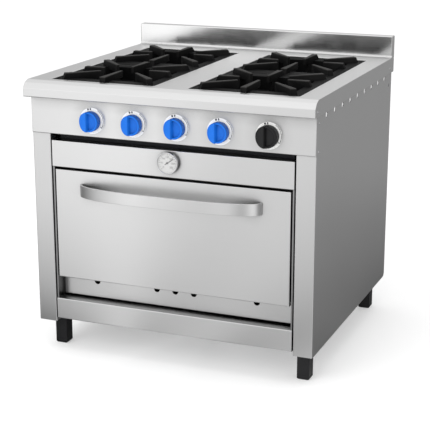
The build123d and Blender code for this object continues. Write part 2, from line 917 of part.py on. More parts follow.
def make_inlet():
    """Threaded gas inlet at the back, drawn at its outside thread size."""
    collar = rod_y(feed_x, back_y, back_y + inlet_collar_length, feed_z, inlet_collar_radius)
    return collar + rod_y(feed_x, back_y, back_y + inlet_length, feed_z, inlet_radius)


# Burners and grates


def burner_places():
    return [(side * window_x, y) for side in (-1, 1) for y in burner_y]


def make_burners():
    """Cast burner heads, each on a neck with a mixing tube that runs to the front."""
    z1 = head_top - cap_height
    z0 = z1 - head_height
    burners = []
    for x, y in burner_places():
        shift = -mix_offset if y == burner_y[0] else mix_offset
        head = rod_z(x, y, z0, z1, head_radius)
        neck = rod_z(x + shift, y, mix_z, z0, mix_radius)
        elbow = Pos(x + shift, y, mix_z) * Sphere(mix_radius)
        tube = rod_y(x + shift, mix_mouth_y, y, mix_z, mix_radius)
        mouth = rod_y(x + shift, mix_mouth_y - cut_past, mix_mouth_y + 2 * mix_radius, mix_z,
                      supply_hole_radius)
        burners.append(head + neck + elbow + tube - mouth)
    return Compound(burners)


def make_caps():
    """Loose flame caps on the burner heads."""
    z0 = head_top - cap_height
    caps = []
    for x, y in burner_places():
        cap = rod_z(x, y, z0, head_top, cap_radius)
        caps.append(chamfer(cap.faces().sort_by(Axis.Z)[-1].edges(), cap_height / 2))
    return Compound(caps)


def make_burner_bars():
    """Two bars from side to side that carry the burners."""
    half = body_half - sheet
    z1 = mix_z - mix_radius
    bars = [block(-half, half, y - bar_width / 2, y + bar_width / 2, z1 - bar_height, z1)
            for y in burner_y]
    return Compound(bars)


def make_fin(inner, outer, z0, angle, step=0.0, slope=fin_end_slope):
    """One upright fin along a ray from the middle of the grate, wider at its outer end."""
    if step:
        points = [(inner, fin_top), (inner, fin_top - long_fin_nose), (step, fin_top - long_fin_nose),
                  (step, z0)]
    else:
        points = [(inner, fin_top), (inner, z0)]
    points += [(pit_half_y, z0), (pit_half_y, ledge_z), (outer, ledge_z), (outer, grate_top),
               (outer - slope, fin_top)]
    profile = Plane.XZ * Polygon(*points, align=None)
    plan = Polygon((inner, -fin_tip / 2), (outer, -fin_root / 2), (outer, fin_root / 2),
                   (inner, fin_tip / 2), align=None)
    taper = Pos(0, 0, z0) * extrude(plan, amount=fin_top - z0)
    return Rot(0, 0, angle) * (extrude(profile, amount=fin_root / 2, both=True) & taper)


def make_grate(x, y):
    """Cast grate: a square plate round a bowl, with eight fins that carry the pan."""
    bowl_z = grate_top - skirt_drop
    plate = block(-grate_half, grate_half, -fin_center_back, grate_depth - fin_center_back, ledge_z,
                  grate_top)
    slot = block(slot_x - slot_length / 2, slot_x + slot_length / 2, slot_y - slot_width / 2,
                 slot_y + slot_width / 2, ledge_z - cut_past, grate_top + cut_past)
    outline = RectangleRounded(2 * (pit_half_x + skirt), 2 * (pit_half_y + skirt), pit_corner + skirt)
    cut = RectangleRounded(2 * pit_half_x, 2 * pit_half_y, pit_corner)
    bowl = Pos(0, 0, bowl_z) * extrude(outline, amount=skirt_drop)
    pit = Pos(0, 0, bowl_z + bowl_floor) * extrude(cut, amount=skirt_drop)
    grate = plate - slot + bowl - pit
    grate = grate - rod_z(0, 0, bowl_z - cut_past, bowl_z + bowl_floor + cut_past,
                          bowl_hole)
    fin_z = bowl_z + bowl_floor - cut_past
    for angle in (45, 135, 225, 315):
        grate = grate + make_fin(diagonal_inner, diagonal_outer, fin_z, angle)
    for angle in (0, 180):
        grate = grate + make_fin(side_fin_inner, side_fin_outer, fin_z, angle)
    grate = grate + make_fin(long_fin_inner, front_fin_outer, fin_z, 270, long_fin_step,
                             front_fin_slope)
    grate = grate + make_fin(long_fin_inner, rear_fin_outer, fin_z, 90, long_fin_step,
                             rear_fin_slope)
    return Pos(x, y, 0) * grate


def all_pieces():
    """Every piece of the range, by its node's name."""
    pieces = {
        "cooktop": make_cooktop(),
        "backsplash": make_backsplash(),
        "control_panel": make_control_panel(),
        "dial_plates": make_dials(),
        "panel_screws": make_screws(),
        "oven_header": make_header(),
        "column_right": make_column(),
        "column_left": other_side(make_column()),
        "side_panel_right": make_side_panel(),
        "side_panel_left": other_side(make_side_panel()),
        "back_panel": make_back_panel(),
        "bottom_rail": make_rail(),
        "kick_panel": make_kick_panel(),
        "base_pan": make_base_pan(),
        "legs": make_legs(),
        "oven_frame": make_frame(),
        "oven_seal": make_seal(),
        "oven_wrap": make_wrap(),
        "oven_back": make_oven_back(),
        "oven_floor": make_oven_floor(),
        "oven_insulation": make_insulation(),
        "rack_guides": make_guides(),
        "oven_rack": make_rack(),
        "oven_burner": make_oven_burner(),
        "tray_shelf": make_tray_shelf(),
        "drip_tray": make_tray(),
        "door_skin": make_door_skin(),
        "door_liner": make_door_liner(),
        "door_insulation": make_door_blanket(),
        "door_handle": make_handle(),
        "hinge_pins": make_hinge_pins(),
        "thermometer_case": make_gauge_case(),
        "thermometer_dial": make_gauge_dial(),
        "thermometer_lens": make_gauge_lens(),
        "thermometer_needle": make_needle(),
        "gas_valves": make_valves(),
        "gas_tubes": make_tubes(),
        "gas_manifold": make_manifold(),
        "gas_inlet": make_inlet(),
        "burners": make_burners(),
        "burner_caps": make_caps(),
        "burner_bars": make_burner_bars(),
    }
    for i, x in enumerate(knob_xs):
        oven = i >= burner_knobs
        name = "oven" if oven else str(i + 1)
        pieces["stem_" + name] = make_stem(x)
        pieces["knob_" + name] = make_knob(x, oven_knob_radius if oven else knob_radius)
    for (x, y), name in zip(leg_places(), ("front_left", "front_right", "rear_left", "rear_right")):
        pieces["foot_" + name] = make_foot(x, y)
    for (x, y), name in zip(burner_places(), ("front_left", "rear_left", "front_right", "rear_right")):
        pieces["grate_" + name] = make_grate(x, y)
    return pieces


os.makedirs("parts", exist_ok=True)
for node, solid in all_pieces().items():
    export_step(solid, os.path.join("parts", node + ".step"))
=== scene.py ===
import math

import bmesh
import bpy
from bpy.props import FloatProperty, FloatVectorProperty, IntProperty
from bpy.types import Operator, Panel, PropertyGroup
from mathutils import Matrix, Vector


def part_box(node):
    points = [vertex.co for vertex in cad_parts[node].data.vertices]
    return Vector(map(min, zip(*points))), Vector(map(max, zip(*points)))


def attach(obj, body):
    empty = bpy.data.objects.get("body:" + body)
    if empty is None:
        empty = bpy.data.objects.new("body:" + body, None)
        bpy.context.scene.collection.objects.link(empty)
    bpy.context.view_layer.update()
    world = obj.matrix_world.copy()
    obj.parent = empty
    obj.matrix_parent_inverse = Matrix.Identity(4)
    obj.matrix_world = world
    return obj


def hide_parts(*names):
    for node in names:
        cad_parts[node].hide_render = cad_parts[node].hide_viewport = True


bl_info = {
    "name": "Gas range",
    "version": (1, 0, 0),
    "blender": (4, 5, 0),
    "location": "View3D > Sidebar > Gas range",
    "description": "Dresses the packed gas range: sheet metal, castings, knobs, dials and stage",
    "category": "Object",
}

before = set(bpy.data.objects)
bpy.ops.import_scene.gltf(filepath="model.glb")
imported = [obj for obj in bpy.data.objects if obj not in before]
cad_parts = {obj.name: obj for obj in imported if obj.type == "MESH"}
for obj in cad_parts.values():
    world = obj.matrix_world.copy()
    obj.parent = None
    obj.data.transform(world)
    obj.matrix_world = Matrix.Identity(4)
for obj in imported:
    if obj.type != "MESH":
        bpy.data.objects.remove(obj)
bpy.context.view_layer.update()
MM = 0.001
SIDES = ("right", "left")
CORNERS = ("front_left", "front_right", "rear_left", "rear_right")
KNOBS = ("1", "2", "3", "4", "oven")

# Sizes that the frame doesn't give, in millimetres

NEAR = 0.1                      # an edge this close to a face belongs to it
TINY = 0.0001                   # points closer than this are one point
PAST = 5.0                      # a cutter reaches this far past the face that it cuts
SHARP = 0.3                     # an edge that turns more than this, in radians, is rounded
FOLD_STEPS = 4                  # faces across a rounded fold
ARC_STEP = 4                    # degrees from point to point of a printed arc
HOLE_SIDES = 24
VENT_SIDES = 32
AIR_HOLE_SIDES = 40
NECK_SIDES = 48
DISC_SIDES = 96
CORNER = 0.8                    # rounding of the cooktop's side corners
CORNER_STEPS = 3
LIP = 26.0                      # height of the cooktop's upright front lip
SHOULDER = (12.0, 41.0)         # from the lip's foot to the knee of the slope behind it
CREST = 29.0                    # from the lip to where the slope meets the flat top
LIP_FOLDS = (5.0, 7.0, 9.0)     # radii of the lip's, the knee's and the crest's folds
LIP_RETURN = 33.0               # depth of the sheet folded in under the lip
WINDOW_GAP = 2.0                # between a grate and its window's rim
WINDOW_CORNER = 5.0
LEDGE_DROP = 11.0               # from the flat top to the ledge that carries the grates
LEDGE = 10.0                    # width of that ledge
LEDGE_FOLD = 1.6
COVE = 8.0                      # radius of the hollow at the backsplash's foot
COVE_STEPS = 6
HEM = 20.0                      # depth of the backsplash's turned-down rear edge
STEM_HOLE = 7.0                 # radius of the holes that the valve stems pass through
PANEL_CORNER = 14.0             # the side panel's lower rear corner
FLANGE = 20.0
VENT_FIRST = 59.0               # from the side panel's front edge to the first vent
VENT_LAST = 91.5                # from the last vent to its rear edge
VENT_DROP = 56.5                # from its top edge to the vents
SERVICE_HOLE = 5.5
SERVICE_BACK = 31.5             # from the service hole to the rear edge
SERVICE_DROP = 31.0             # from the vents down to the service hole
# painted light: the strip behind the vents is pale so that the vents read bright, as light seen through
# them
BACKING_GAP = 0.3               # between a side panel and the strip behind its vents
BACKING = 1.5
BACKING_END = 16.0              # how far the strip reaches past the first and last vent
BACKING_HALF = 12.0             # half the strip's height
BACKING_CORNER = 3.0
HEADER_SHORT = 2.0              # how far the header's top return stops short of its bottom one
RAIL_SHORT = 6.0                # how far the rail's bottom return stops short of its shelf
SLOT_IN = 18.0                  # from the shelf's right end to the middle of its slot
SLOT_HALF = 7.0                 # half the slot's length
SLOT_FRONT = 14.0               # from the shelf's front edge to the slot
SLOT_BACK = 18.0
AIR_DROP = 22.0                 # from the kick panel's top edge to its row of air holes
AIR_PLACES = (-260.0, -60.0, 0.0, 60.0, 260.0)
LINER_BORDER = 46.0             # plain border round the door liner's pressed panel
LINER_CORNER = 18.0
LINER_RIM = 1.2                 # depth of the liner that the pressed panel takes the place of
PRESSING = ((0, 0.6), (0, 0), (3, 0), (7, 2.2), (9, 2.4))   # inwards from the border, depth
HANDLE_EDGE = 1.0               # broken edges of the handle's bar
HANDLE_STEPS = 96
SQUARENESS = 3.0                # power of the handle's bow, 2 for an ellipse
DIAL_EDGE = 0.3
DIAL_BEVEL = 1.6
MARK_DEPTH = 0.2                # how far a printed mark goes into its plate
MARK_RISE = 0.12                # and how far it stands out
DIAL_MARKS = ((2.8, 1.2, -30, 58), (7.0, 1.2, -33, -30),    # the arc from low to high, and its end
              (6.2, 0.9, 104.5, 113), (6.8, 0.9, 93, 99))   # the two short marks at the top
OVEN_MARK = (3.4, 1.4, 0, 1.6)
OVEN_TURNS = range(120, 330, 30)
RIM_DROP = 6.0                  # from the top of a knob's blade down to its rim
HOLLOW_DROP = 12.0              # and down to the hollow on the blade's right
LEFT_DROP = 8.0                 # and down to the knob's left edge
RIDGE = -0.19                   # place of the blade's crest, in knob radii from the middle
FOOT = 0.05                     # and of its foot in the hollow
FULLNESS = 0.8                  # how round the blade's left flank is, 1 for a sine
RIM_START = 0.76                # where the hollow rises to the rim
RIM_RISE = 0.07
KNOB_RINGS = (*(0.06 * k for k in range(1, 12)), 0.71, 0.75, 0.77, 0.79, 0.81, 0.83, 0.87, 0.92,
              0.955)            # circles of its face, in knob radii
KNOB_SHOULDER = 0.99
SHOULDER_DROP = 1.4             # from the face's last circle back to the shoulder
KNURL_START = 0.8               # from the shoulder back to the ribs
KNURL = 0.55                    # depth of the ribs round a knob's skirt
BEZEL = ((3.0, 6.0), (3.0, 0.9), (2.5, 0.2), (1.7, 0.0), (0.8, 0.2), (0.2, 0.9), (0.0, 2.0),
         (0.0, 7.0), (0.8, 8.0), (3.5, 8.4))                # inwards from the rim, back from the front
NECK = 14.0                     # radius of the thermometer's neck
NECK_BEVEL = 1.0
SCALE = 27.0                    # outer radius of the thermometer's scale
SCALE_LINE = 2.4
SCALE_LONG_LINE = 4.4
SCALE_HALF_LINE = 1.3           # half a line's width, in degrees
SCALE_ENDS = (-45, 225)         # degrees from +X
SCALE_STEP = 15
FIGURE_STEP = 45
FIGURE_VALUE = 50
FIGURE_RING = 17.5
FIGURE_HEIGHT = 7.8
FIGURE_DEPTH = 0.08
FIGURE_RISE = 0.02
BURNER_EDGE = 0.8
LEG_EDGE = 0.6


def length(name, description, default, low, high):
    return FloatProperty(name=name, description=description, unit="LENGTH", default=default * MM,
                         min=low * MM, max=high * MM)


def tint(name, description, *default):
    return FloatVectorProperty(name=name, description=description, subtype="COLOR", default=default,
                               min=0, max=1)


class RangeSizes(PropertyGroup):
    """Sizes of the dressed pieces."""
    sheet: length("Sheet", "Thickness of the folded sheet", 1.5, 0.8, 3.0)
    bend: length("Bend", "Outside radius of a fold", 2.6, 1.6, 6.0)
    casting: length("Casting edge", "Rounding of a cast edge", 1.6, 0.5, 2.5)
    bar: length("Handle bar", "Thickness of the door handle", 7.0, 4.0, 12.0)
    vent: length("Vent", "Radius of a side panel's vent", 9.0, 4.0, 11.0)
    air_hole: length("Air hole", "Radius of a kick panel's air hole", 9.5, 4.0, 14.0)
    vents: IntProperty(name="Vents", description="Vents in each side panel", default=9, min=2, max=20)
    knurls: IntProperty(name="Knurls", description="Fine ribs round each knob's skirt", default=72,
                        min=24, max=120)


class RangeColours(PropertyGroup):
    """Colours of the range's finishes."""
    steel: tint("Steel", "Brushed stainless steel", 0.70, 0.70, 0.70)
    plain: tint("Plain steel", "Mill-finish steel inside", 0.50, 0.51, 0.53)
    iron: tint("Iron", "Coated cast iron", 0.003, 0.003, 0.0031)
    # painted highlight and wear: the grey of the grate fins' tops
    worn_iron: tint("Worn iron", "Fin tops, where pans slide", 0.040, 0.039, 0.038)
    knob: tint("Knob", "Burner knob plastic", 0.003, 0.125, 0.560)
    oven_knob: tint("Oven knob", "Oven knob plastic", 0.007, 0.007, 0.0075)
    print_ink: tint("Ink", "Printed marks", 0.02, 0.02, 0.022)
    plate: tint("Dial plate", "White dial plates", 0.93, 0.93, 0.92)
    leg: tint("Legs", "Black legs and feet", 0.012, 0.012, 0.013)


class RangeStage(PropertyGroup):
    """Camera and light of the stage."""
    azimuth: FloatProperty(name="Azimuth", description="Camera's turn to the right",
                           subtype="ANGLE", default=math.radians(21.89))
    elevation: FloatProperty(name="Elevation", description="Camera's height angle",
                             subtype="ANGLE", default=math.radians(15.82))
    distance: FloatProperty(name="Distance", description="From the camera to its target",
                            default=4.0757, unit="LENGTH")
    target: FloatVectorProperty(name="Target", description="Point that the camera looks at",
                                subtype="XYZ", unit="LENGTH", default=(-0.0116, 0.0085, 0.37365))
    focal: FloatProperty(name="Focal length", description="In widths of the picture",
                         default=2.9507)
    floor: tint("Floor", "Pale floor", 0.66, 0.66, 0.66)
    floor_glow: FloatProperty(name="Floor light", description="Keeps the range's shadow faint",
                              default=0.36)
    sky: FloatProperty(name="Surround", description="Strength of the even light", default=1.05)
    mirrored: FloatProperty(name="Mirrored room", description="Brightness of the room in the steel",
                            default=1.2)


def size(name):
    """A size that the user may change, in millimetres."""
    return round(getattr(bpy.context.scene.range_sizes, name) / MM, 6)


def colour(name):
    """A colour that the user may change."""
    return tuple(getattr(bpy.context.scene.range_colours, name))


def limits(node):
    """Lowest and highest corner of a CAD node, in millimetres."""
    low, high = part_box(node)
    return low / MM, high / MM


def middle(node):
    low, high = limits(node)
    return (low + high) / 2


# Shader maths


def operation(name, reflected=False):
    """Arithmetic on a field, which adds the node that works it out."""
    def work(field, other):
        pair = (other, field) if reflected else (field, other)
        plain = all(not isinstance(side, Field) or side.socket.type in ("VALUE", "INT")
                    for side in pair)
        kind = "ShaderNodeMath" if plain else "ShaderNodeVectorMath"
        return field.paint.node(kind, {"operation": name}, dict(enumerate(pair)))
    return work


class Field:
    """One output of a shader node, which takes part in Python expressions."""

    def __init__(self, paint, socket):
        self.paint = paint
        self.socket = socket

    __add__ = operation("ADD")
    __radd__ = operation("ADD", reflected=True)
    __sub__ = operation("SUBTRACT")
    __rsub__ = operation("SUBTRACT", reflected=True)
    __mul__ = operation("MULTIPLY")
    __rmul__ = operation("MULTIPLY", reflected=True)
    __truediv__ = operation("DIVIDE")
    __rtruediv__ = operation("DIVIDE", reflected=True)


class Paint:
    """A material built from nodes."""

    def __init__(self, name):
        self.material = bpy.data.materials.new(name)
        self.material.use_nodes = True
        self.tree = self.material.node_tree
        self.tree.nodes.clear()
        self.place = self.node("ShaderNodeTexCoord", out="Object")

    def node(self, kind, settings=None, sockets=None, out=0):
        """Adds a node. Its settings are set first, then its sockets get values or links."""
        made = self.tree.nodes.new(kind)
        for key, value in (settings or {}).items():
            if key == "stops":
                ramp = made.color_ramp
                ramp.elements.remove(ramp.elements[1])
                ramp.elements[0].position, ramp.elements[0].color = value[0]
                for position, level in value[1:]:
                    ramp.elements.new(position).color = level
            else:
                setattr(made, key, value)
        for key, value in (sockets or {}).items():
            target = made.inputs[key]
            if isinstance(value, Field):
                self.tree.links.new(value.socket, target)
                continue
            if target.type == "VECTOR" and isinstance(value, (int, float)):
                value = (value,) * 3
            if target.type == "RGBA" and len(value) == 3:
                value = (*value, 1.0)
            target.default_value = value
        return Field(self, made.outputs[out]) if len(made.outputs) else made

    def noise(self, cells, detail=2.0, rough=0.5):
        """Noise with a number of cells to the metre, or one number for each of X, Y and Z."""
        return self.node("ShaderNodeTexNoise", {}, {"Vector": self.place * cells, "Scale": 1.0,
                                                    "Detail": detail, "Roughness": rough})

    def along(self, way):
        """How far a point lies along a direction, from the origin, in metres."""
        return self.node("ShaderNodeVectorMath", {"operation": "DOT_PRODUCT"},
                         {0: self.place, 1: way}, "Value")

    def ramp(self, value, *stops):
        """A smooth step between grey levels, as (position, level) pairs."""
        levels = [(position, (level, level, level, 1.0)) for position, level in stops]
        return self.node("ShaderNodeValToRGB", {"stops": levels}, {"Fac": value})

    def blend(self, share, first, second):
        """A colour between two colours."""
        return self.node("ShaderNodeMix", {"data_type": "RGBA"}, {0: share, 6: first, 7: second}, 2)

    def nook(self, reach):
        """Painted shade from ambient occlusion: 1 on open faces, falling to 0 in joins and narrow gaps."""
        shade = self.node("ShaderNodeAmbientOcclusion", {"samples": 4}, {"Distance": reach}, "AO")
        return self.ramp(shade, (0.15, 0.0), (0.85, 1.0))

    def compass(self, stops):
        """A level that changes with the direction from the origin, as (degrees, level) pairs."""
        turn = self.node("ShaderNodeMath", {"operation": "ARCTAN2"},
                         {0: self.along((1.0, 0.0, 0.0)), 1: self.along((0.0, -1.0, 0.0))})
        return self.ramp(turn / math.tau + 0.5, *((0.5 + angle / 360, level) for angle, level in stops))

    def bump(self, height, depth, strength):
        """A bump whose full height is depth metres."""
        return self.node("ShaderNodeBump", {}, {"Strength": strength, "Distance": depth,
                                                "Height": height})

    def surface(self, **sockets):
        """The surface shader. Underlines in a socket's name stand for its spaces."""
        names = {key.replace("_", " "): value for key, value in sockets.items()}
        shader = self.node("ShaderNodeBsdfPrincipled", {}, names)
        self.node("ShaderNodeOutputMaterial", {}, {"Surface": shader})
        return self.material


# Finishes. Grain is in cells to the metre, and a bump's depth in metres.

ACROSS = (6.0, 900.0, 900.0)
UPRIGHT = (900.0, 900.0, 6.0)


def toned(share, tint):
    """A darker or lighter colour."""
    return tuple(share * level for level in tint)


def brushed(coat, grain, roughness=0.31, stretch=0.6, turn=0.25, seam=0.045, tone=1.0):
    """Sheet steel with fine brush lines, clouded by handling, with painted shade darkening its joins and
    gaps.
    """
    steel = toned(tone, colour("steel"))
    lines = coat.noise(grain, 3.0, 0.6)
    cloud = coat.noise(5.0, 3.0, 0.55)
    smear = coat.noise((14.0, 9.0, 11.0), 2.0, 0.6)
    unshaded = coat.blend(0.375 + lines * 0.25 + cloud * 0.2, toned(0.88, steel), steel)
    # painted shade: the steel darkens to a tenth of its colour where ambient occlusion finds joins and gaps
    base = coat.blend(coat.nook(seam), toned(0.10, steel), unshaded)
    rough = roughness - 0.05 + lines * 0.06 + cloud * 0.05 + smear * 0.03
    coat.surface(Base_Color=base, Metallic=1.0, Roughness=rough, Anisotropic=stretch,
                 Anisotropic_Rotation=turn, Normal=coat.bump(lines, 0.00006, 0.35))


def mill_steel(coat):
    """Plain rolled sheet for the inside of the range, stained by heat, with painted shade darkening its
    depths.
    """
    cloud = coat.noise(9.0, 4.0, 0.6)
    stain = coat.ramp(coat.noise((22.0, 26.0, 18.0), 4.0, 0.65), (0.55, 0.0), (0.75, 1.0))
    base = coat.blend(stain * 0.25, colour("plain"), (0.32, 0.31, 0.29))
    # painted shade: near-black in its depths and narrow gaps
    base = coat.blend(coat.nook(0.15), (0.07, 0.07, 0.07), base)
    coat.surface(Base_Color=base, Metallic=1.0, Roughness=0.36 + cloud * 0.14,
                 Normal=coat.bump(coat.noise(420.0), 0.00004, 0.4))


def bare_metal(coat, dark, light, cells, detail=3.0, roughness=0.26, haze=0.16, dent=0.0001, strength=0.2):
    """Turned, drawn or plated metal, a little cloudy."""
    cloud = coat.noise(cells, detail)
    coat.surface(Base_Color=coat.blend(cloud, dark, light), Metallic=1.0,
                 Roughness=roughness + cloud * haze, Normal=coat.bump(cloud, dent, strength))


def iron(coat, wear_and_highlight_node=None):
    """Sand-cast iron under a matt black coat, grey on a node's top, partly from wear where pans slide and
    partly as a painted highlight of the light from above.
    """
    sand = coat.noise(620.0, 3.0, 0.6)
    lumps = coat.noise(110.0, 3.0, 0.55)
    patches = coat.noise(26.0, 4.0, 0.6)
    edge = coat.node("ShaderNodeNewGeometry", out="Pointiness")
    rubbed = coat.ramp(edge, (0.52, 0.0), (0.58, 1.0)) * (patches * 0.7)
    base = coat.blend(patches, colour("iron"), toned(2.0, colour("iron")))
    base = coat.blend(rubbed * 0.5, base, (0.030, 0.029, 0.028))
    rough = 0.58 + patches * 0.16
    if wear_and_highlight_node:
        # the top few millimetres are painted grey: wear where pans slide and a painted highlight of the
        # light from above
        height = coat.along((0.0, 0.0, 1.0)) - limits(wear_and_highlight_node)[1].z * MM
        wear_and_highlight = coat.ramp(height * 250.0 + 1.0, (0.25, 0.0), (0.75, 1.0)) * (0.45 + patches * 0.9)
        base = coat.blend(wear_and_highlight * 0.8, base, colour("worn_iron"))
        rough = rough - wear_and_highlight * 0.1
    coat.surface(Base_Color=base, Roughness=rough, Specular_IOR_Level=0.06,
                 Normal=coat.bump(sand * 0.5 + lumps * 0.5, 0.00035, 0.6))


def moulded(coat, tint):
    """Moulded plastic with a fine satin texture, with painted shade darkening its hollows and creases."""
    plastic = colour(tint)
    cloud = coat.noise(70.0, 3.0)
    lighter = tuple(min(1.0, level * 1.25 + 0.006) for level in plastic)
    # painted shade: darker in hollows, creases and against other parts
    base = coat.blend(coat.nook(0.02), toned(0.35, plastic), coat.blend(cloud * 0.6, plastic, lighter))
    coat.surface(Base_Color=base, Roughness=0.38 + cloud * 0.1, Specular_IOR_Level=0.25,
                 Normal=coat.bump(coat.noise(2200.0), 0.00002, 0.5))


def white_plate(coat, tone=1.0):
    """White enamelled plate."""
    plate = toned(tone, colour("plate"))
    cloud = coat.noise(90.0, 3.0)
    coat.surface(Base_Color=coat.blend(cloud * 0.5, plate, toned(0.96, plate)),
                 Roughness=0.28 + cloud * 0.08, Normal=coat.bump(cloud, 0.00003, 0.3))


def ink(coat):
    """Printing ink and the needle's paint."""
    cloud = coat.noise(300.0)
    base = coat.blend(cloud, colour("print_ink"), toned(2.2, colour("print_ink")))
    coat.surface(Base_Color=base, Roughness=0.4 + cloud * 0.1)


def clear_glass(coat):
    """The thermometer's thin flat glass."""
    cloud = coat.noise(120.0)
    coat.surface(Base_Color=(1.0, 1.0, 1.0), Roughness=0.02 + cloud * 0.03, Alpha=0.05 + cloud * 0.03)


def fibre(coat):
    """Woven glass-fibre rope of the oven seal."""
    weave = coat.node("ShaderNodeTexWave", {"wave_type": "BANDS", "bands_direction": "DIAGONAL"},
                      {"Vector": coat.place, "Scale": 260.0, "Distortion": 1.5})
    base = coat.blend(weave * 0.6 + coat.noise(40.0, 3.0) * 0.4, (0.10, 0.095, 0.085), (0.33, 0.31, 0.27))
    coat.surface(Base_Color=base, Roughness=0.85, Normal=coat.bump(weave, 0.0006, 0.8))


def wool(coat):
    """Mineral wool blanket."""
    tuft = coat.noise((160.0, 220.0, 60.0), 6.0, 0.7)
    base = coat.blend(tuft * 0.7 + coat.noise(12.0, 4.0) * 0.3, (0.30, 0.25, 0.14), (0.62, 0.56, 0.38))
    coat.surface(Base_Color=base, Roughness=0.95, Normal=coat.bump(tuft, 0.003, 0.8))


def enamel(coat):
    """Dark oven enamel with pale flecks."""
    fleck = coat.ramp(coat.noise(700.0, 1.0), (0.68, 0.0), (0.72, 1.0))
    cloud = coat.noise(30.0, 4.0)
    base = coat.blend(fleck * 0.5, (0.010, 0.011, 0.014), (0.25, 0.26, 0.28))
    coat.surface(Base_Color=base, Roughness=0.3 + cloud * 0.14, Specular_IOR_Level=0.2,
                 Normal=coat.bump(cloud, 0.0003, 0.4))


LEVEL_FACE = {"grain": ACROSS}
UPRIGHT_FACE = {"grain": UPRIGHT, "turn": 0.0}
PLATED = {"dark": (0.60, 0.60, 0.61), "light": (0.78, 0.78, 0.79), "cells": 60.0, "roughness": 0.14,
          "haze": 0.1, "dent": 0.00003}
FINISHES = {
    "steel_top": (brushed, {"grain": ACROSS, "stretch": 0.0, "turn": 0.0}),
    # painted light: the backsplash steel is a lighter copy of the steel, to brighten its reflections
    "steel_splash": (brushed, {"grain": ACROSS, "roughness": 0.14, "stretch": 0.5, "tone": 1.05}),
    "steel_panel": (brushed, LEVEL_FACE),
    "steel_header": (brushed, LEVEL_FACE),
    # painted shade: the rail's shelf darkens far into the gap under the door, the kick panel only close to
    # its edges
    "steel_rail": (brushed, {**LEVEL_FACE, "seam": 0.12}),
    "steel_kick": (brushed, {**LEVEL_FACE, "seam": 0.012}),
    "steel_door": (brushed, LEVEL_FACE),
    "steel_liner": (brushed, LEVEL_FACE),
    "steel_handle": (brushed, LEVEL_FACE),
    "steel_column": (brushed, UPRIGHT_FACE),
    "steel_side": (brushed, UPRIGHT_FACE),
    # painted shade: the oven frame is a half-tone copy of the steel, shaded further in its gaps
    "steel_frame": (brushed, {**UPRIGHT_FACE, "seam": 0.09, "tone": 0.5}),
    "plain_steel": (mill_steel, {}),
    "screw_steel": (bare_metal, PLATED),
    "bezel_chrome": (bare_metal, PLATED),
    "wire_chrome": (bare_metal, PLATED),
    "tube_aluminium": (bare_metal, {"dark": (0.62, 0.62, 0.63), "light": (0.80, 0.80, 0.81),
                                    "cells": 50.0}),
    "valve_brass": (bare_metal, {"dark": (0.45, 0.29, 0.10), "light": (0.74, 0.53, 0.22),
                                 "cells": 80.0, "detail": 4.0, "strength": 0.3}),
    "cast_iron": (iron, {"wear_and_highlight_node": "grate_front_right"}),
    "burner_iron": (iron, {}),
    "knob_blue": (moulded, {"tint": "knob"}),
    "knob_black": (moulded, {"tint": "oven_knob"}),
    "leg_black": (moulded, {"tint": "leg"}),
    "dial_white": (white_plate, {}),
    "face_white": (white_plate, {"tone": 0.55}),
    "print_ink": (ink, {}),
    "needle_black": (ink, {}),
    "lens_clear": (clear_glass, {}),
    "seal_fibre": (fibre, {}),
    "blanket": (wool, {}),
    "enamel_black": (enamel, {}),
}


MADE = {}


def finish(name):
    """A finish, made the first time that it is asked for."""
    if name not in MADE:
        maker, settings = FINISHES[name]
        MADE[name] = Paint(name)
        maker(MADE[name], **settings)
    return MADE[name].material


# Mesh building, in millimetres


def rounded(points, radii, steps=5):
    """A path or outline whose corners are arcs. radii has one number for each point."""
    path = []
    for i, radius in enumerate(radii):
        here = Vector(points[i])
        if radius <= 0:
            path.append(tuple(here))
            continue
        back = (Vector(points[i - 1]) - here).normalized()
        ahead = (Vector(points[(i + 1) % len(points)]) - here).normalized()
        half_turn = back.angle(ahead) / 2
        reach = radius / math.tan(half_turn)
        centre = here + (back + ahead).normalized() * radius / math.sin(half_turn)
        start, end = here + back * reach - centre, here + ahead * reach - centre
        swing = start.angle(end)
        for k in range(steps + 1):
            t = k / steps
            arm = (start * math.sin((1 - t) * swing) + end * math.sin(t * swing)) / math.sin(swing)
            path.append(tuple(centre + arm))
    return path


def offset(path, distance, closed=False):
    """The path moved sideways, to the left of its direction."""
    moved = []
    count = len(path)
    for i, point in enumerate(path):
        here = Vector(point)
        before = here - Vector(path[i - 1]) if closed or i > 0 else None
        after = Vector(path[(i + 1) % count]) - here if closed or i < count - 1 else None
        before = (before or after).normalized()
        after = (after or before).normalized()
        left = Vector((-before.y - after.y, before.x + after.x)).normalized()
        moved.append(tuple(here + left * distance / left.dot(Vector((-before.y, before.x)))))
    return moved


def folded(points, radii, thickness):
    """Closed section of a sheet folded along a path, with its thickness to the path's left."""
    path = rounded(points, radii)
    path = path[:1] + [spot for before, spot in zip(path, path[1:]) if math.dist(before, spot) > TINY]
    return path + offset(path, thickness)[::-1]


def circle(centre, radius, count):
    return [(centre[0] + radius * math.cos(math.tau * i / count),
             centre[1] + radius * math.sin(math.tau * i / count)) for i in range(count)]


def rectangle(x0, x1, y0, y1, radius=0.0, steps=6):
    outline = [(x0, y0), (x1, y0), (x1, y1), (x0, y1)]
    return rounded(outline, [radius] * 4, steps) if radius else outline


def grown(x0, x1, y0, y1, width):
    """The rectangle, larger all round."""
    return x0 - width, x1 + width, y0 - width, y1 + width


AXES = {"x": lambda a, b, c: (c, a, b), "y": lambda a, b, c: (a, c, b), "z": lambda a, b, c: (a, b, c)}


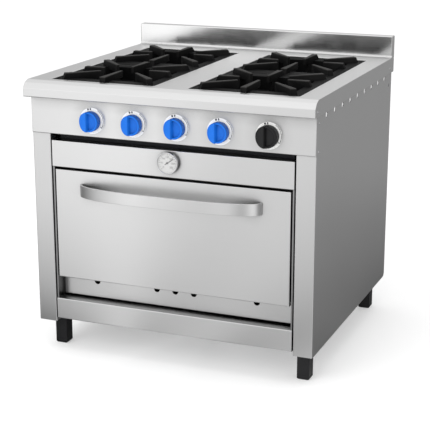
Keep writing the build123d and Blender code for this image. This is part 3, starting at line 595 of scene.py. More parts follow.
class Shape:
    """A mesh being put together in millimetres."""

    def __init__(self):
        self.mesh = bmesh.new()

    def spots(self, points):
        """Vertices at points in space."""
        return [self.mesh.verts.new(point) for point in points]

    def row(self, outline, level, along):
        """Vertices of an outline that stands across an axis."""
        return self.spots(AXES[along](a, b, level) for a, b in outline)

    def wall(self, first, second):
        """Quads between two closed rows of vertices."""
        for i in range(len(first)):
            j = (i + 1) % len(first)
            self.mesh.faces.new((first[i], first[j], second[j], second[i]))

    def loft(self, rows):
        """Walls from row to row, closed at both ends."""
        for first, second in zip(rows, rows[1:]):
            self.wall(first, second)
        self.mesh.faces.new(rows[0][::-1])
        self.mesh.faces.new(rows[-1])
        return self

    def prism(self, outline, low, high, along="x"):
        """A section drawn out along an axis."""
        return self.loft([self.row(outline, low, along), self.row(outline, high, along)])

    def block(self, low, high, radius=0.0, along="z"):
        """A block between two corners, its edges along an axis rounded."""
        a, b, c = {"x": (1, 2, 0), "y": (0, 2, 1), "z": (0, 1, 2)}[along]
        return self.prism(rectangle(low[a], high[a], low[b], high[b], radius), low[c], high[c], along)

    def turned(self, profile, centre, along="y", sides=64, closed=False):
        """A round body from (radius, distance along the axis) pairs, capped or closed on itself."""
        rows = [self.row(circle(centre, radius, sides) if radius > 0 else [centre], level, along)
                for radius, level in profile]
        for first, second in list(zip(rows, rows[1:])) + ([(rows[-1], rows[0])] if closed else []):
            if len(first) == len(second):
                self.wall(first, second)
            else:
                tip, rim = (first[0], second) if len(first) == 1 else (second[0], first)
                for i in range(sides):
                    self.mesh.faces.new((tip, rim[i], rim[(i + 1) % sides]))
        for end in () if closed else (rows[0], rows[-1]):
            if len(end) > 1:
                self.mesh.faces.new(end)
        return self

    def to_side(self, side):
        """Mirrors everything so far where the side is the left one."""
        bmesh.ops.scale(self.mesh, vec=(1 if side == "right" else -1, 1, 1), verts=self.mesh.verts)
        return self

    def round_edges(self, width, segments, chosen):
        """Rounds the sharp edges whose two ends pass the test."""
        bmesh.ops.recalc_face_normals(self.mesh, faces=self.mesh.faces)
        edges = [edge for edge in self.mesh.edges
                 if all(chosen(vert.co) for vert in edge.verts) and edge.calc_face_angle(0) > SHARP]
        bmesh.ops.bevel(self.mesh, geom=edges, offset=width, offset_type="OFFSET", segments=segments,
                        profile=0.5, affect="EDGES")
        return self

    def window_rim(self, section, window, radius):
        """A folded edge round a rectangular window. section gives (outward, height) pairs."""
        rows = [self.row(rectangle(*grown(*window, out), max(radius + out, 0.5)), level, "z")
                for out, level in section]
        for i, first in enumerate(rows):
            self.wall(first, rows[(i + 1) % len(rows)])
        return self

    def object(self, name):
        bmesh.ops.recalc_face_normals(self.mesh, faces=self.mesh.faces)
        bmesh.ops.scale(self.mesh, vec=(MM, MM, MM), verts=self.mesh.verts)
        data = bpy.data.meshes.new(name)
        self.mesh.to_mesh(data)
        self.mesh.free()
        made = bpy.data.objects.new(name, data)
        bpy.context.scene.collection.objects.link(made)
        return made


def drill(radius, centre, face, along, sides=HOLE_SIDES):
    """A cutter for a round hole in a sheet whose face stands across an axis."""
    return Shape().turned([(radius, face - PAST), (radius, face + PAST)], centre, along, sides)


def cut(piece, *shapes):
    """Takes other shapes out of the piece."""
    tools = [shape.object("cutter") for shape in shapes]
    for tool in tools:
        step = piece.modifiers.new("cut", "BOOLEAN")
        step.operation = "DIFFERENCE"
        step.solver = "EXACT"
        step.object = tool
    bpy.context.view_layer.update()
    graph = bpy.context.evaluated_depsgraph_get()
    uncut = piece.data
    data = bpy.data.meshes.new_from_object(piece.evaluated_get(graph))
    piece.modifiers.clear()
    piece.data = data
    bpy.data.meshes.remove(uncut)
    for tool in tools:
        bpy.data.objects.remove(tool)
    return piece


def pan(name, node, *cutters):
    """A sheet with its edges folded to the rear, which stands for a CAD node."""
    low, high = limits(node)
    sheet = size("sheet")
    box = Shape().block(low, high)
    box.round_edges(size("bend"), FOLD_STEPS, lambda at: at.y < low.y + NEAR)
    void = Shape().block((low.x + sheet, low.y + sheet, low.z + sheet),
                         (high.x - sheet, high.y + PAST, high.z - sheet))
    return cut(box.object(name), void, *cutters)


def channel(name, node, points):
    """A sheet that runs from side to side, folded along (y, z) points."""
    low, high = limits(node)
    radii = [0, *[size("bend")] * (len(points) - 2), 0]
    return Shape().prism(folded(points, radii, size("sheet")), low.x, high.x).object(name)


def smooth(piece, angle=30.0):
    """Shades round stretches smooth and keeps flat faces flat."""
    piece.data.polygons.foreach_set("use_smooth", [True] * len(piece.data.polygons))
    piece.data.set_sharp_from_angle(angle=math.radians(angle))
    weighted = piece.modifiers.new("flat shading", "WEIGHTED_NORMAL")
    weighted.keep_sharp = True
    weighted.weight = 100
    return piece


def dress(piece, coat, *nodes, body="range_body", slot="brushed_steel"):
    """Gives a piece its finish and its body, and hides the CAD nodes that it stands for."""
    piece.data.materials.clear()
    piece.data.materials.append(finish(coat))
    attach(piece, body)
    if nodes:
        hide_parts(*nodes)


def coat_nodes(coat, *nodes, width=0.0):
    """Puts a finish on CAD nodes, and rounds their edges where a width is given."""
    for node in nodes:
        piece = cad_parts[node]
        if len(piece.material_slots) == 0:
            piece.data.materials.append(finish(coat))
        for place in piece.material_slots:
            place.material = finish(coat)
        if width:
            weld = piece.modifiers.new("weld", "WELD")
            weld.merge_threshold = 0.002 * MM
            flat = piece.modifiers.new("flat faces", "DECIMATE")
            flat.decimate_type = "DISSOLVE"
            flat.angle_limit = math.radians(0.5)
            piece.data.polygons.foreach_set("use_smooth", [True] * len(piece.data.polygons))
            rounding = piece.modifiers.new("rounding", "BEVEL")
            rounding.width = width * MM
            rounding.segments = 2
            rounding.limit_method = "ANGLE"
            rounding.angle_limit = math.radians(30)
            rounding.harden_normals = True


# Cooktop and backsplash


def windows():
    """Low x, high x, low y and high y of the cooktop's right and left windows."""
    low, high = limits("grate_front_right")
    rear = limits("grate_rear_right")[1].y
    left, right, front, back = grown(low.x, high.x, low.y, rear, WINDOW_GAP)
    return (left, right, front, back), (-right, -left, front, back)


class RANGE_OT_cooktop(Operator):
    """Builds the pressed cooktop with its rolled front edge and the rims of its windows"""
    bl_idname = "range.cooktop"
    bl_label = "Cooktop"

    def execute(self, context):
        low, high = limits("cooktop")
        sheet, bend = size("sheet"), size("bend")
        skin = [(low.y, low.z), (low.y, low.z + LIP), (low.y + SHOULDER[0], low.z + SHOULDER[1]),
                (low.y + CREST, high.z), (high.y, high.z), (high.y, low.z)]
        body = Shape().prism(rounded(skin, [bend, *LIP_FOLDS, bend, 0]), low.x, high.x)
        body.round_edges(CORNER, CORNER_STEPS, lambda at: abs(at.x) > high.x - NEAR and at.z > low.z + NEAR)
        piece = body.object("cooktop_skin")
        hollow = offset(skin, -sheet, closed=True)[:-1]
        hollow += [(high.y - sheet, low.z - PAST), (low.y + LIP_RETURN, low.z - PAST),
                   (low.y + LIP_RETURN, low.z + sheet)]
        openings = [rectangle(*grown(*window, bend), WINDOW_CORNER + bend) for window in windows()]
        cut(piece, Shape().prism(hollow, low.x + sheet, high.x - sheet),
            *(Shape().prism(opening, high.z - PAST, high.z + PAST, "z") for opening in openings))
        ledge = high.z - LEDGE_DROP
        section = folded([(bend, high.z), (0, high.z), (0, ledge), (-LEDGE, ledge)],
                         [0, bend, LEDGE_FOLD, 0], sheet)
        rims = Shape()
        for window in windows():
            rims.window_rim(section, window, WINDOW_CORNER)
        for part in (piece, rims.object("cooktop_rims")):
            dress(smooth(part), "steel_top", "cooktop")
        return {"FINISHED"}


class RANGE_OT_backsplash(Operator):
    """Builds the folded backsplash, open below and behind, and the cove at its foot"""
    bl_idname = "range.backsplash"
    bl_label = "Backsplash"

    def execute(self, context):
        low, high = limits("backsplash")
        sheet = size("sheet")
        front = low.y + COVE
        box = Shape().block((low.x, front, low.z), high)
        box.round_edges(size("bend"), FOLD_STEPS,
                        lambda at: at.z > high.z - NEAR or at.y < front + NEAR)
        piece = box.object("backsplash_skin")
        inside = Shape().block((low.x + sheet, front + sheet, low.z - PAST),
                               (high.x - sheet, high.y - sheet, high.z - sheet))
        behind = Shape().block((low.x + sheet, high.y - PAST, low.z - PAST),
                               (high.x - sheet, high.y + PAST, high.z - HEM))
        cut(piece, inside, behind)
        hollow = [(front - COVE + COVE * math.sin(t), low.z + COVE - COVE * math.cos(t))
                  for t in (math.pi / 2 * k / COVE_STEPS for k in range(COVE_STEPS + 1))]
        foot = Shape().prism(hollow + [(front, low.z)], low.x, high.x).object("backsplash_cove")
        dress(smooth(piece), "steel_splash", "backsplash")
        dress(smooth(foot, angle=40), "steel_splash", "backsplash")
        return {"FINISHED"}


# Front of the body


class RANGE_OT_control_panel(Operator):
    """Builds the control panel with its stem holes and screws"""
    bl_idname = "range.control_panel"
    bl_label = "Control panel"

    def execute(self, context):
        face = limits("control_panel")[0].y
        stems = [middle("stem_" + knob) for knob in KNOBS]
        holes = [drill(STEM_HOLE, (at.x, at.z), face, "y") for at in stems]
        piece = pan("control_panel_skin", "control_panel", *holes)
        dress(smooth(piece), "steel_panel", "control_panel")
        coat_nodes("screw_steel", "panel_screws")
        return {"FINISHED"}


class RANGE_OT_header(Operator):
    """Builds the folded header above the door"""
    bl_idname = "range.header"
    bl_label = "Header"

    def execute(self, context):
        low, high = limits("oven_header")
        path = [(high.y - HEADER_SHORT, high.z), (low.y, high.z), (low.y, low.z), (high.y, low.z)]
        dress(smooth(channel("oven_header_skin", "oven_header", path)), "steel_header", "oven_header")
        return {"FINISHED"}


class RANGE_OT_rail(Operator):
    """Builds the bottom rail with the slot in its shelf"""
    bl_idname = "range.rail"
    bl_label = "Bottom rail"

    def execute(self, context):
        low, high = limits("bottom_rail")
        path = [(high.y, high.z), (low.y, high.z), (low.y, low.z), (high.y - RAIL_SHORT, low.z)]
        piece = channel("bottom_rail_skin", "bottom_rail", path)
        slot_x = high.x - SLOT_IN
        cut(piece, Shape().block((slot_x - SLOT_HALF, low.y + SLOT_FRONT, high.z - PAST),
                                 (slot_x + SLOT_HALF, low.y + SLOT_BACK, high.z + PAST)))
        dress(smooth(piece), "steel_rail", "bottom_rail")
        return {"FINISHED"}


class RANGE_OT_kick_panel(Operator):
    """Builds the kick panel with its air holes"""
    bl_idname = "range.kick_panel"
    bl_label = "Kick panel"

    def execute(self, context):
        low, high = limits("kick_panel")
        path = [(low.y, high.z), (low.y, low.z), (high.y, low.z)]
        piece = channel("kick_panel_skin", "kick_panel", path)
        cut(piece, *(drill(size("air_hole"), (x, high.z - AIR_DROP), low.y, "y", AIR_HOLE_SIDES)
                     for x in AIR_PLACES))
        dress(smooth(piece), "steel_kick", "kick_panel")
        return {"FINISHED"}


# Sides of the body


class RANGE_OT_columns(Operator):
    """Builds the two folded front columns"""
    bl_idname = "range.columns"
    bl_label = "Columns"

    def execute(self, context):
        low, high = limits("column_right")
        bend = size("bend")
        outer_return = limits("side_panel_right")[0].y
        section = folded([(low.x, high.y), (low.x, low.y), (high.x, low.y), (high.x, outer_return)],
                         [0, bend, bend, 0], size("sheet"))
        for side in SIDES:
            post = Shape().prism(section, low.z, high.z, "z").to_side(side)
            dress(smooth(post.object("column_" + side + "_skin")), "steel_column", "column_" + side)
        return {"FINISHED"}


class RANGE_OT_side_panels(Operator):
    """Builds the side panels with their vents, service hole, flanges and the pale strip behind the vents,
    which is painted light that makes the vents read bright
    """
    bl_idname = "range.side_panels"
    bl_label = "Side panels"

    def execute(self, context):
        low, high = limits("side_panel_right")
        sheet, vents = size("sheet"), context.scene.range_sizes.vents
        back = limits("back_panel")[1].y
        shelf = limits("bottom_rail")[1].z
        inner = high.x - sheet
        row = high.z - VENT_DROP
        first, last = low.y + VENT_FIRST, high.y - VENT_LAST
        outline = rounded([(low.y, low.z), (high.y, low.z), (high.y, high.z), (low.y, high.z)],
                          [0, PANEL_CORNER, 0, 0])
        for side in SIDES:
            face = high.x if side == "right" else -high.x
            skin = Shape().prism(outline, inner, high.x).to_side(side)
            piece = skin.object("side_panel_" + side + "_skin")
            holes = [drill(size("vent"), (first + k * (last - first) / (vents - 1), row), face, "x",
                           VENT_SIDES) for k in range(vents)]
            holes.append(drill(SERVICE_HOLE, (high.y - SERVICE_BACK, row - SERVICE_DROP), face, "x"))
            cut(piece, *holes)
            dress(smooth(piece), "steel_side", "side_panel_" + side)
            # painted light: a pale strip close behind the vents makes them read bright
            strip = Shape().block(
                (inner - BACKING_GAP - BACKING, first - BACKING_END, row - BACKING_HALF),
                (inner - BACKING_GAP, last + BACKING_END, row + BACKING_HALF), BACKING_CORNER, "x")
            strip = strip.to_side(side).object("vent_backing_" + side)
            dress(smooth(strip), "dial_white", slot="dial_white")
            edge = Shape()
            edge.block((inner - FLANGE, low.y, shelf), (inner, low.y + sheet, high.z))
            edge.block((inner - FLANGE, back, low.z), (inner, back + sheet, high.z))
            edge.block((inner - FLANGE, low.y + sheet, high.z - sheet), (inner, back, high.z))
            edge = edge.to_side(side).object("side_flanges_" + side)
            dress(smooth(edge), "plain_steel", "side_panel_" + side)
        return {"FINISHED"}


# Door


class RANGE_OT_door(Operator):
    """Builds the oven door's outer skin, and its liner with a pressed panel"""
    bl_idname = "range.door"
    bl_label = "Oven door"

    def execute(self, context):
        skin = pan("door_skin_outer", "door_skin")
        dress(smooth(skin), "steel_door", "door_skin", body="oven_door")
        low, high = limits("door_liner")
        liner = Shape().block(low, high).object("door_liner_plate")
        panel = grown(low.x, high.x, low.z, high.z, -LINER_BORDER)
        press = Shape()
        press.loft([press.row(rectangle(*grown(*panel, -inward), LINER_CORNER), high.y - depth, "y")
                    for inward, depth in PRESSING])
        cut(liner, Shape().prism(rectangle(*panel, LINER_CORNER), high.y - LINER_RIM, high.y + PAST, "y"))
        for part in (liner, press.object("door_liner_panel")):
            dress(smooth(part), "steel_liner", "door_liner", body="oven_door")
        coat_nodes("blanket", "door_insulation")
        coat_nodes("screw_steel", "hinge_pins")
        return {"FINISHED"}


def bow(half, reach):
    """One side of the handle's bar, seen from above, as (x, reach) points."""
    turns = [math.pi * (k / HANDLE_STEPS - 0.5) for k in range(HANDLE_STEPS + 1)]
    return [(math.copysign(half * abs(math.sin(turn)) ** (2 / SQUARENESS), turn), reach * math.cos(turn))
            for turn in turns]


class RANGE_OT_handle(Operator):
    """Builds the door handle, a bowed flat bar with broken edges"""
    bl_idname = "range.handle"
    bl_label = "Door handle"

    def execute(self, context):
        low, high = limits("door_handle")
        half, reach, thick = high.x, high.y - low.y, size("bar")
        bar = Shape()
        rows = []
        for outer, inner in zip(bow(half, reach), bow(half - thick, reach - thick)):
            across = Vector(inner) - Vector(outer)
            side = across.normalized()
            loop = rectangle(0, across.length, low.z, high.z, HANDLE_EDGE, 3)
            rows.append(bar.spots((outer[0] + side.x * d, high.y - (outer[1] + side.y * d), z)
                                  for d, z in loop))
        piece = bar.loft(rows).object("door_handle_bar")
        dress(smooth(piece, angle=50), "steel_handle", "door_handle", body="oven_door")
        return {"FINISHED"}


# Dials, knobs and the thermometer


def arc_mark(shape, at, y, inner, outer, start, end):
    """A printed band round a dial whose face is at y, angles in degrees from +X."""
    steps = max(1, int((end - start) / ARC_STEP))
    rows = []
    for k in range(steps + 1):
        turn = math.radians(start + (end - start) * k / steps)
        rows.append(shape.spots((at.x + r * math.cos(turn), level, at.z + r * math.sin(turn))
                                for r, level in ((inner, y + MARK_DEPTH), (outer, y + MARK_DEPTH),
                                                 (outer, y - MARK_RISE), (inner, y - MARK_RISE))))
    shape.loft(rows)


class RANGE_OT_dials(Operator):
    """Builds the white plates behind the knobs, with plain printed marks"""
    bl_idname = "range.dials"
    bl_label = "Dial plates"

    def execute(self, context):
        low, high = limits("dial_plates")
        rim = (high.z - low.z) / 2
        profile = [(STEM_HOLE, high.y), (rim - DIAL_EDGE, high.y), (rim, high.y - DIAL_EDGE),
                   (rim - DIAL_BEVEL, low.y), (STEM_HOLE, low.y)]
        plates, marks = Shape(), Shape()
        for knob in KNOBS:
            at = middle("stem_" + knob)
            plates.turned(profile, (at.x, at.z), "y", DISC_SIDES, closed=True)
            for inner, outer, start, end in DIAL_MARKS:
                arc_mark(marks, at, low.y, rim - inner, rim - outer, start, end)
            inner, outer, start, end = OVEN_MARK
            for turn in OVEN_TURNS if knob == "oven" else ():
                arc_mark(marks, at, low.y, rim - inner, rim - outer, turn + start, turn + end)
        discs = plates.object("dial_plate_discs")
        dress(smooth(discs, angle=20), "dial_white", "dial_plates", slot="dial_white")
        dress(marks.object("dial_marks"), "print_ink", slot="needle_black")
        return {"FINISHED"}


def ease(share):
    """Rises smoothly from 0 to 1."""
    return 0.5 - 0.5 * math.cos(math.pi * share)


def knob_height(x, z, radius, length):
    """How far the knob's face stands out from its back, at a point of its front."""
    away = math.hypot(x, z) / radius
    ridge, foot = RIDGE * radius, FOOT * radius
    left, rim, floor = length - LEFT_DROP, length - RIM_DROP, length - HOLLOW_DROP
    if x < ridge:
        span = max(0.0, (x + radius) / (ridge + radius))
        level = left + (length - left) * math.sin(math.pi / 2 * span) ** FULLNESS
    else:
        level = length + (floor - length) * ease(min(1.0, (x - ridge) / (foot - ridge)))
    if x > ridge and away > RIM_START:
        level = max(level, floor + (rim - floor) * ease(min(1.0, (away - RIM_START) / RIM_RISE)))
    return level


def knob_shape(at, low, high):
    """Knurled skirt, a blade across the face, a hollow to its right and a plain rim."""
    radius, length = (high.x - low.x) / 2, high.y - low.y
    sides = 3 * bpy.context.scene.range_sizes.knurls
    knob = Shape()
    tip = knob.spots([(0, -knob_height(0, 0, radius, length), 0)])[0]
    rows = []
    for share in KNOB_RINGS:
        ring = circle((0, 0), share * radius, sides)
        rows.append(knob.spots((x, -knob_height(x, z, radius, length), z) for x, z in ring))
    shoulder, ribs, grooves = (circle((0, 0), reach, sides)
                               for reach in (KNOB_SHOULDER * radius, radius, radius - KNURL))
    skirt = [ribs[k] if k % 3 == 0 else grooves[k] for k in range(sides)]
    for ring, drop in ((shoulder, SHOULDER_DROP), (skirt, KNURL_START)):
        rows.append(knob.spots((x, vert.co.y + drop, z) for (x, z), vert in zip(ring, rows[-1])))
    rows.append(knob.spots((x, 0.0, z) for x, z in skirt))
    for i in range(sides):
        knob.mesh.faces.new((tip, rows[0][i], rows[0][(i + 1) % sides]))
    for first, second in zip(rows, rows[1:]):
        knob.wall(first, second)
    knob.mesh.faces.new(rows[-1])
    bmesh.ops.translate(knob.mesh, vec=(at.x, high.y, at.z), verts=knob.mesh.verts)
    return knob


class RANGE_OT_knobs(Operator):
    """Builds the four burner knobs and the oven knob"""
    bl_idname = "range.knobs"
    bl_label = "Knobs"

    def execute(self, context):
        for name in KNOBS:
            node = "knob_" + name
            plastic = "knob_black" if name == "oven" else "knob_blue"
            grip = knob_shape(middle("stem_" + name), *limits(node)).object(node + "_grip")
            dress(smooth(grip, angle=50), plastic, node, body=node, slot=plastic)
            coat_nodes("screw_steel", "stem_" + name)
        return {"FINISHED"}


class RANGE_OT_thermometer(Operator):
    """Builds the oven thermometer's bezel, neck, scale and figures"""
    bl_idname = "range.thermometer"
    bl_label = "Thermometer"

    def execute(self, context):
        low, high = limits("thermometer_case")
        at = middle("thermometer_lens")
        rim = (high.x - low.x) / 2
        face = limits("oven_header")[0].y
        edge = [(rim - inward, low.y + back) for inward, back in BEZEL]
        profile = [(0, edge[0][1]), *edge, (edge[-1][0], face), (0, face)]
        bezel = Shape().turned(profile, (at.x, at.z), "y", DISC_SIDES).object("thermometer_bezel")
        profile = [(0, face), (NECK, face), (NECK, high.y - NECK_BEVEL), (NECK - NECK_BEVEL, high.y),
                   (0, high.y)]
        neck = Shape().turned(profile, (at.x, at.z), "y", NECK_SIDES).object("thermometer_neck")
        for part, angle in ((bezel, 35), (neck, 30)):
            dress(smooth(part, angle), "bezel_chrome", "thermometer_case", slot="wire_chrome")
        coat_nodes("face_white", "thermometer_dial")
        coat_nodes("lens_clear", "thermometer_lens")
        coat_nodes("needle_black", "thermometer_needle")
        self.print_scale(at, limits("thermometer_dial")[0].y)
        return {"FINISHED"}

    def print_scale(self, at, dial):
        """Lines and plain numbers, clockwise from the lower left."""
        start, end = SCALE_ENDS
        marks = Shape()
        for turn in range(start, end + 1, SCALE_STEP):
            line = SCALE_LINE if turn % FIGURE_STEP else SCALE_LONG_LINE
            arc_mark(marks, at, dial, SCALE - line, SCALE, turn - SCALE_HALF_LINE, turn + SCALE_HALF_LINE)
        dress(marks.object("thermometer_marks"), "print_ink", slot="needle_black")
        for i, turn in enumerate(range(end, start - 1, -FIGURE_STEP)):
            name = "thermometer_figure_" + str(i)
            figure = bpy.data.curves.new(name, "FONT")
            figure.body = str(i * FIGURE_VALUE)
            figure.size = FIGURE_HEIGHT * MM
            figure.align_x = "CENTER"
            figure.align_y = "CENTER"
            figure.extrude = FIGURE_DEPTH * MM
            label = bpy.data.objects.new(name, figure)
            bpy.context.scene.collection.objects.link(label)
            label.rotation_euler = (math.pi / 2, 0, 0)
            angle = math.radians(turn)
            label.location = ((at.x + FIGURE_RING * math.cos(angle)) * MM, (dial - FIGURE_RISE) * MM,
                              (at.z + FIGURE_RING * math.sin(angle)) * MM)
            dress(label, "print_ink", slot="needle_black")


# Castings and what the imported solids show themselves


class RANGE_OT_grates(Operator):
    """Finishes the four cast grates"""
    bl_idname = "range.grates"
    bl_label = "Grates"

    def execute(self, context):
        coat_nodes("cast_iron", *("grate_" + corner for corner in CORNERS), width=size("casting"))
        return {"FINISHED"}


class RANGE_OT_burners(Operator):
    """Finishes the burners, their caps and the bars that carry them"""
    bl_idname = "range.burners"
    bl_label = "Burners"

    def execute(self, context):
        coat_nodes("burner_iron", "burners", "burner_caps", width=BURNER_EDGE)
        # painted shade: the steel bars get black iron so that the windows read dark
        coat_nodes("burner_iron", "burner_bars")
        return {"FINISHED"}


class RANGE_OT_oven(Operator):
    """Finishes the oven's shell, seal, floor, rack and burner"""
    bl_idname = "range.oven"
    bl_label = "Oven"

    def execute(self, context):
        coat_nodes("plain_steel", "oven_wrap", "oven_back", "rack_guides", "oven_burner")
        # painted shade: the frame round the oven opening gets the darker copy of the steel
        coat_nodes("steel_frame", "oven_frame")
        coat_nodes("seal_fibre", "oven_seal")
        coat_nodes("blanket", "oven_insulation")
        coat_nodes("enamel_black", "oven_floor")
        coat_nodes("wire_chrome", "oven_rack")
        return {"FINISHED"}


class RANGE_OT_tray(Operator):
    """Finishes the drip tray and its shelf"""
    bl_idname = "range.tray"
    bl_label = "Drip tray"

    def execute(self, context):
        # painted shade: the drip tray is given black enamel so that the slot under the control panel reads
        # dark
        coat_nodes("enamel_black", "drip_tray")
        coat_nodes("plain_steel", "tray_shelf")
        return {"FINISHED"}


class RANGE_OT_gas(Operator):
    """Finishes the gas inlet, manifold, valves and tubes"""
    bl_idname = "range.gas"
    bl_label = "Gas fittings"

    def execute(self, context):
        coat_nodes("plain_steel", "gas_inlet", "gas_manifold")
        coat_nodes("valve_brass", "gas_valves")
        coat_nodes("tube_aluminium", "gas_tubes")
        return {"FINISHED"}


class RANGE_OT_base(Operator):
    """Finishes the back panel, base pan, legs and feet"""
    bl_idname = "range.base"
    bl_label = "Back, base and legs"

    def execute(self, context):
        coat_nodes("plain_steel", "back_panel", "base_pan")
        coat_nodes("leg_black", "legs", *("foot_" + corner for corner in CORNERS), width=LEG_EDGE)
        return {"FINISHED"}


# Stage, in metres. Degrees run from straight in front, positive to the right.

ROOM = 8.0                      # radius of the mirrored studio's dome
DOME_RINGS = 15
CARD_TOP, CARD_UNDERSIDE = 0.001, 0.0008
ROOM_WALL = ((-180, 0.38), (-165, 0.42), (-148, 0.24), (-110, 0.25), (-76, 0.28), (-54, 0.82),
             (-36, 0.98), (-24, 1.50), (-17, 0.90), (4, 0.90), (15, 0.50), (24, 0.74), (34, 1.0),
             (46, 0.9), (62, 0.36), (110, 0.25), (158, 0.28), (180, 0.34))
ROOM_TOP = 1.05
FAR_FLOOR = ((-180, 0.30), (-110, 0.22), (-76, 0.18), (-58, 0.34), (-42, 0.82), (-34, 1.0),
             (-25, 1.26), (-21, 0.92), (-16, 0.64), (-8, 0.76), (4, 0.92), (15, 0.40), (24, 0.62),
             (34, 1.0), (46, 0.90), (62, 0.34), (80, 0.28), (109, 0.40), (145, 0.28), (180, 0.30))
NEAR_FLOOR = ((-180, 0.30), (-62, 0.10), (-40, 0.14), (-27, 0.52), (-16, 0.60), (0, 0.62),
              (30, 0.60), (90, 0.45), (180, 0.30))
FLOOR_REACH = 20.0
FLOOR_DEPTH = 0.02
LAMPS = {"key": ((-1.6, -4.2, 2.8), 3.0, 80.0), "top": ((0.0, -0.4, 4.2), 3.4, 36.0)}
LAMP_AIM = (0.0, 0.0, 0.5)
SENSOR = 36.0                   # in millimetres, as Blender counts a sensor and a lens
CLIP = 200.0


def room_level(coat):
    """The mirrored studio's wall, more even towards its top."""
    height = coat.along((0.0, 0.0, 1.0 / ROOM))
    return coat.compass(ROOM_WALL) * (1.0 - height) + height * ROOM_TOP


def floor_level(coat):
    """The mirrored floor, darker near the range."""
    away = coat.node("ShaderNodeVectorMath", {"operation": "LENGTH"}, {0: coat.place}, "Value")
    near = coat.compass(NEAR_FLOOR)
    share = coat.ramp(away * 0.3, (0.2, 0.0), (0.34, 0.38), (0.75, 1.0))
    return coat.compass(FAR_FLOOR) * (near + share * (1.0 - near))


def build_mirrored_room(strength):
    """A dome and a floor that only the steel's reflections see."""
    reach = ROOM / MM
    top, underside = CARD_TOP / MM, CARD_UNDERSIDE / MM
    rise = [math.pi / 2 * k / DOME_RINGS for k in range(DOME_RINGS)]
    dome = Shape().turned([(reach * math.cos(t), reach * math.sin(t)) for t in rise] + [(0, reach)],
                          (0, 0), "z")
    card = Shape().turned([(0, top), (reach, top), (reach, underside), (0, underside)], (0, 0), "z")
    for shape, name, level in ((dome, "room", room_level), (card, "floor", floor_level)):
        coat = Paint(name + "_glow")
        light = coat.surface(Base_Color=(0, 0, 0), Roughness=1.0, Specular_IOR_Level=0.0,
                             Emission_Color=level(coat), Emission_Strength=strength)
        light.cycles.emission_sampling = "NONE"
        piece = shape.object("mirrored_" + name)
        piece.data.materials.append(light)
        piece.visible_camera = False
        piece.visible_diffuse = False
        piece.visible_shadow = False
        piece.visible_transmission = False


def build_floor(stage):
    """Pale floor, lit from within a little."""
    reach, depth = FLOOR_REACH / MM, FLOOR_DEPTH / MM
    disc = Shape().turned([(0, 0), (reach, 0), (reach, -depth), (0, -depth)], (0, 0), "z", DISC_SIDES)
    floor = disc.object("floor")
    coat = Paint("floor_paint")
    cloud = coat.noise(0.6)
    pale = coat.surface(Base_Color=coat.blend(cloud, toned(0.99, stage.floor), stage.floor),
                        Roughness=0.75 + cloud * 0.1, Emission_Color=(1.0, 1.0, 1.0),
                        Emission_Strength=stage.floor_glow)
    pale.cycles.emission_sampling = "NONE"
    floor.data.materials.append(pale)


def build_lights(stage):
    """Even light from all round, and two soft lamps."""
    world = bpy.data.worlds.new("surround")
    bpy.context.scene.world = world
    world.use_nodes = True
    backdrop = world.node_tree.nodes["Background"]
    backdrop.inputs["Color"].default_value = (1.0, 1.0, 1.0, 1.0)
    backdrop.inputs["Strength"].default_value = stage.sky
    for name, (place, width, power) in LAMPS.items():
        light = bpy.data.lights.new(name, "AREA")
        light.shape = "DISK"
        light.size = width
        light.energy = power
        lamp = bpy.data.objects.new(name, light)
        lamp.location = place
        lamp.rotation_euler = (Vector(LAMP_AIM) - Vector(place)).to_track_quat("-Z", "Y").to_euler()
        lamp.visible_glossy = False
        bpy.context.scene.collection.objects.link(lamp)


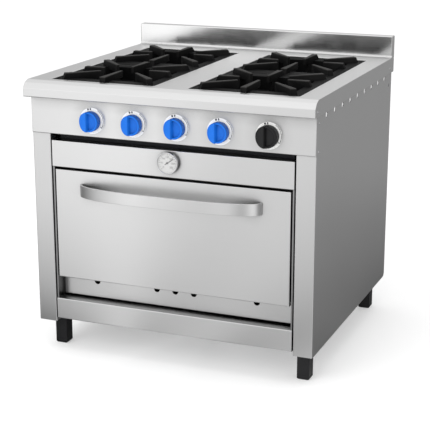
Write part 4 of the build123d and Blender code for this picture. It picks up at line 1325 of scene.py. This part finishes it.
def build_camera(stage):
    """The camera at the photograph's angle."""
    camera = bpy.data.cameras.new("camera")
    camera.sensor_width = SENSOR
    camera.lens = SENSOR * stage.focal
    camera.clip_end = CLIP
    viewer = bpy.data.objects.new("camera", camera)
    level = math.cos(stage.elevation)
    forward = Vector((-math.sin(stage.azimuth) * level, math.cos(stage.azimuth) * level,
                      -math.sin(stage.elevation)))
    viewer.location = Vector(stage.target) - forward * stage.distance
    viewer.rotation_euler = forward.to_track_quat("-Z", "Y").to_euler()
    bpy.context.scene.collection.objects.link(viewer)
    bpy.context.scene.camera = viewer
    bpy.context.scene.view_settings.view_transform = "Standard"


class RANGE_OT_stage(Operator):
    """Sets up the floor, the mirrored room, the lights and the camera"""
    bl_idname = "range.stage"
    bl_label = "Stage"

    def execute(self, context):
        stage = context.scene.range_stage
        build_floor(stage)
        build_mirrored_room(stage.mirrored)
        build_lights(stage)
        build_camera(stage)
        return {"FINISHED"}


# Panel and registration

OPERATORS = (RANGE_OT_cooktop, RANGE_OT_backsplash, RANGE_OT_control_panel, RANGE_OT_header,
             RANGE_OT_rail, RANGE_OT_kick_panel, RANGE_OT_columns, RANGE_OT_side_panels, RANGE_OT_door,
             RANGE_OT_handle, RANGE_OT_dials, RANGE_OT_knobs, RANGE_OT_thermometer, RANGE_OT_grates,
             RANGE_OT_burners, RANGE_OT_oven, RANGE_OT_tray, RANGE_OT_gas, RANGE_OT_base,
             RANGE_OT_stage)
GROUPS = {"range_sizes": RangeSizes, "range_colours": RangeColours, "range_stage": RangeStage}


class RANGE_PT_sidebar(Panel):
    """Lists the sizes, the colours and the steps of the range"""
    bl_idname = "RANGE_PT_sidebar"
    bl_label = "Gas range"
    bl_space_type = "VIEW_3D"
    bl_region_type = "UI"
    bl_category = "Gas range"

    def draw(self, context):
        for name, group in GROUPS.items():
            for item in group.__annotations__:
                self.layout.prop(getattr(context.scene, name), item)
        for operator in OPERATORS:
            self.layout.operator(operator.bl_idname)


def register():
    for name, group in GROUPS.items():
        bpy.utils.register_class(group)
        setattr(bpy.types.Scene, name, bpy.props.PointerProperty(type=group))
    for part in (*OPERATORS, RANGE_PT_sidebar):
        bpy.utils.register_class(part)


def unregister():
    for part in (RANGE_PT_sidebar, *reversed(OPERATORS)):
        bpy.utils.unregister_class(part)
    for name, group in GROUPS.items():
        delattr(bpy.types.Scene, name)
        bpy.utils.unregister_class(group)


def main():
    register()
    for operator in OPERATORS:
        getattr(bpy.ops.range, operator.bl_idname.removeprefix("range."))()


if __name__ == "__main__":
    main()
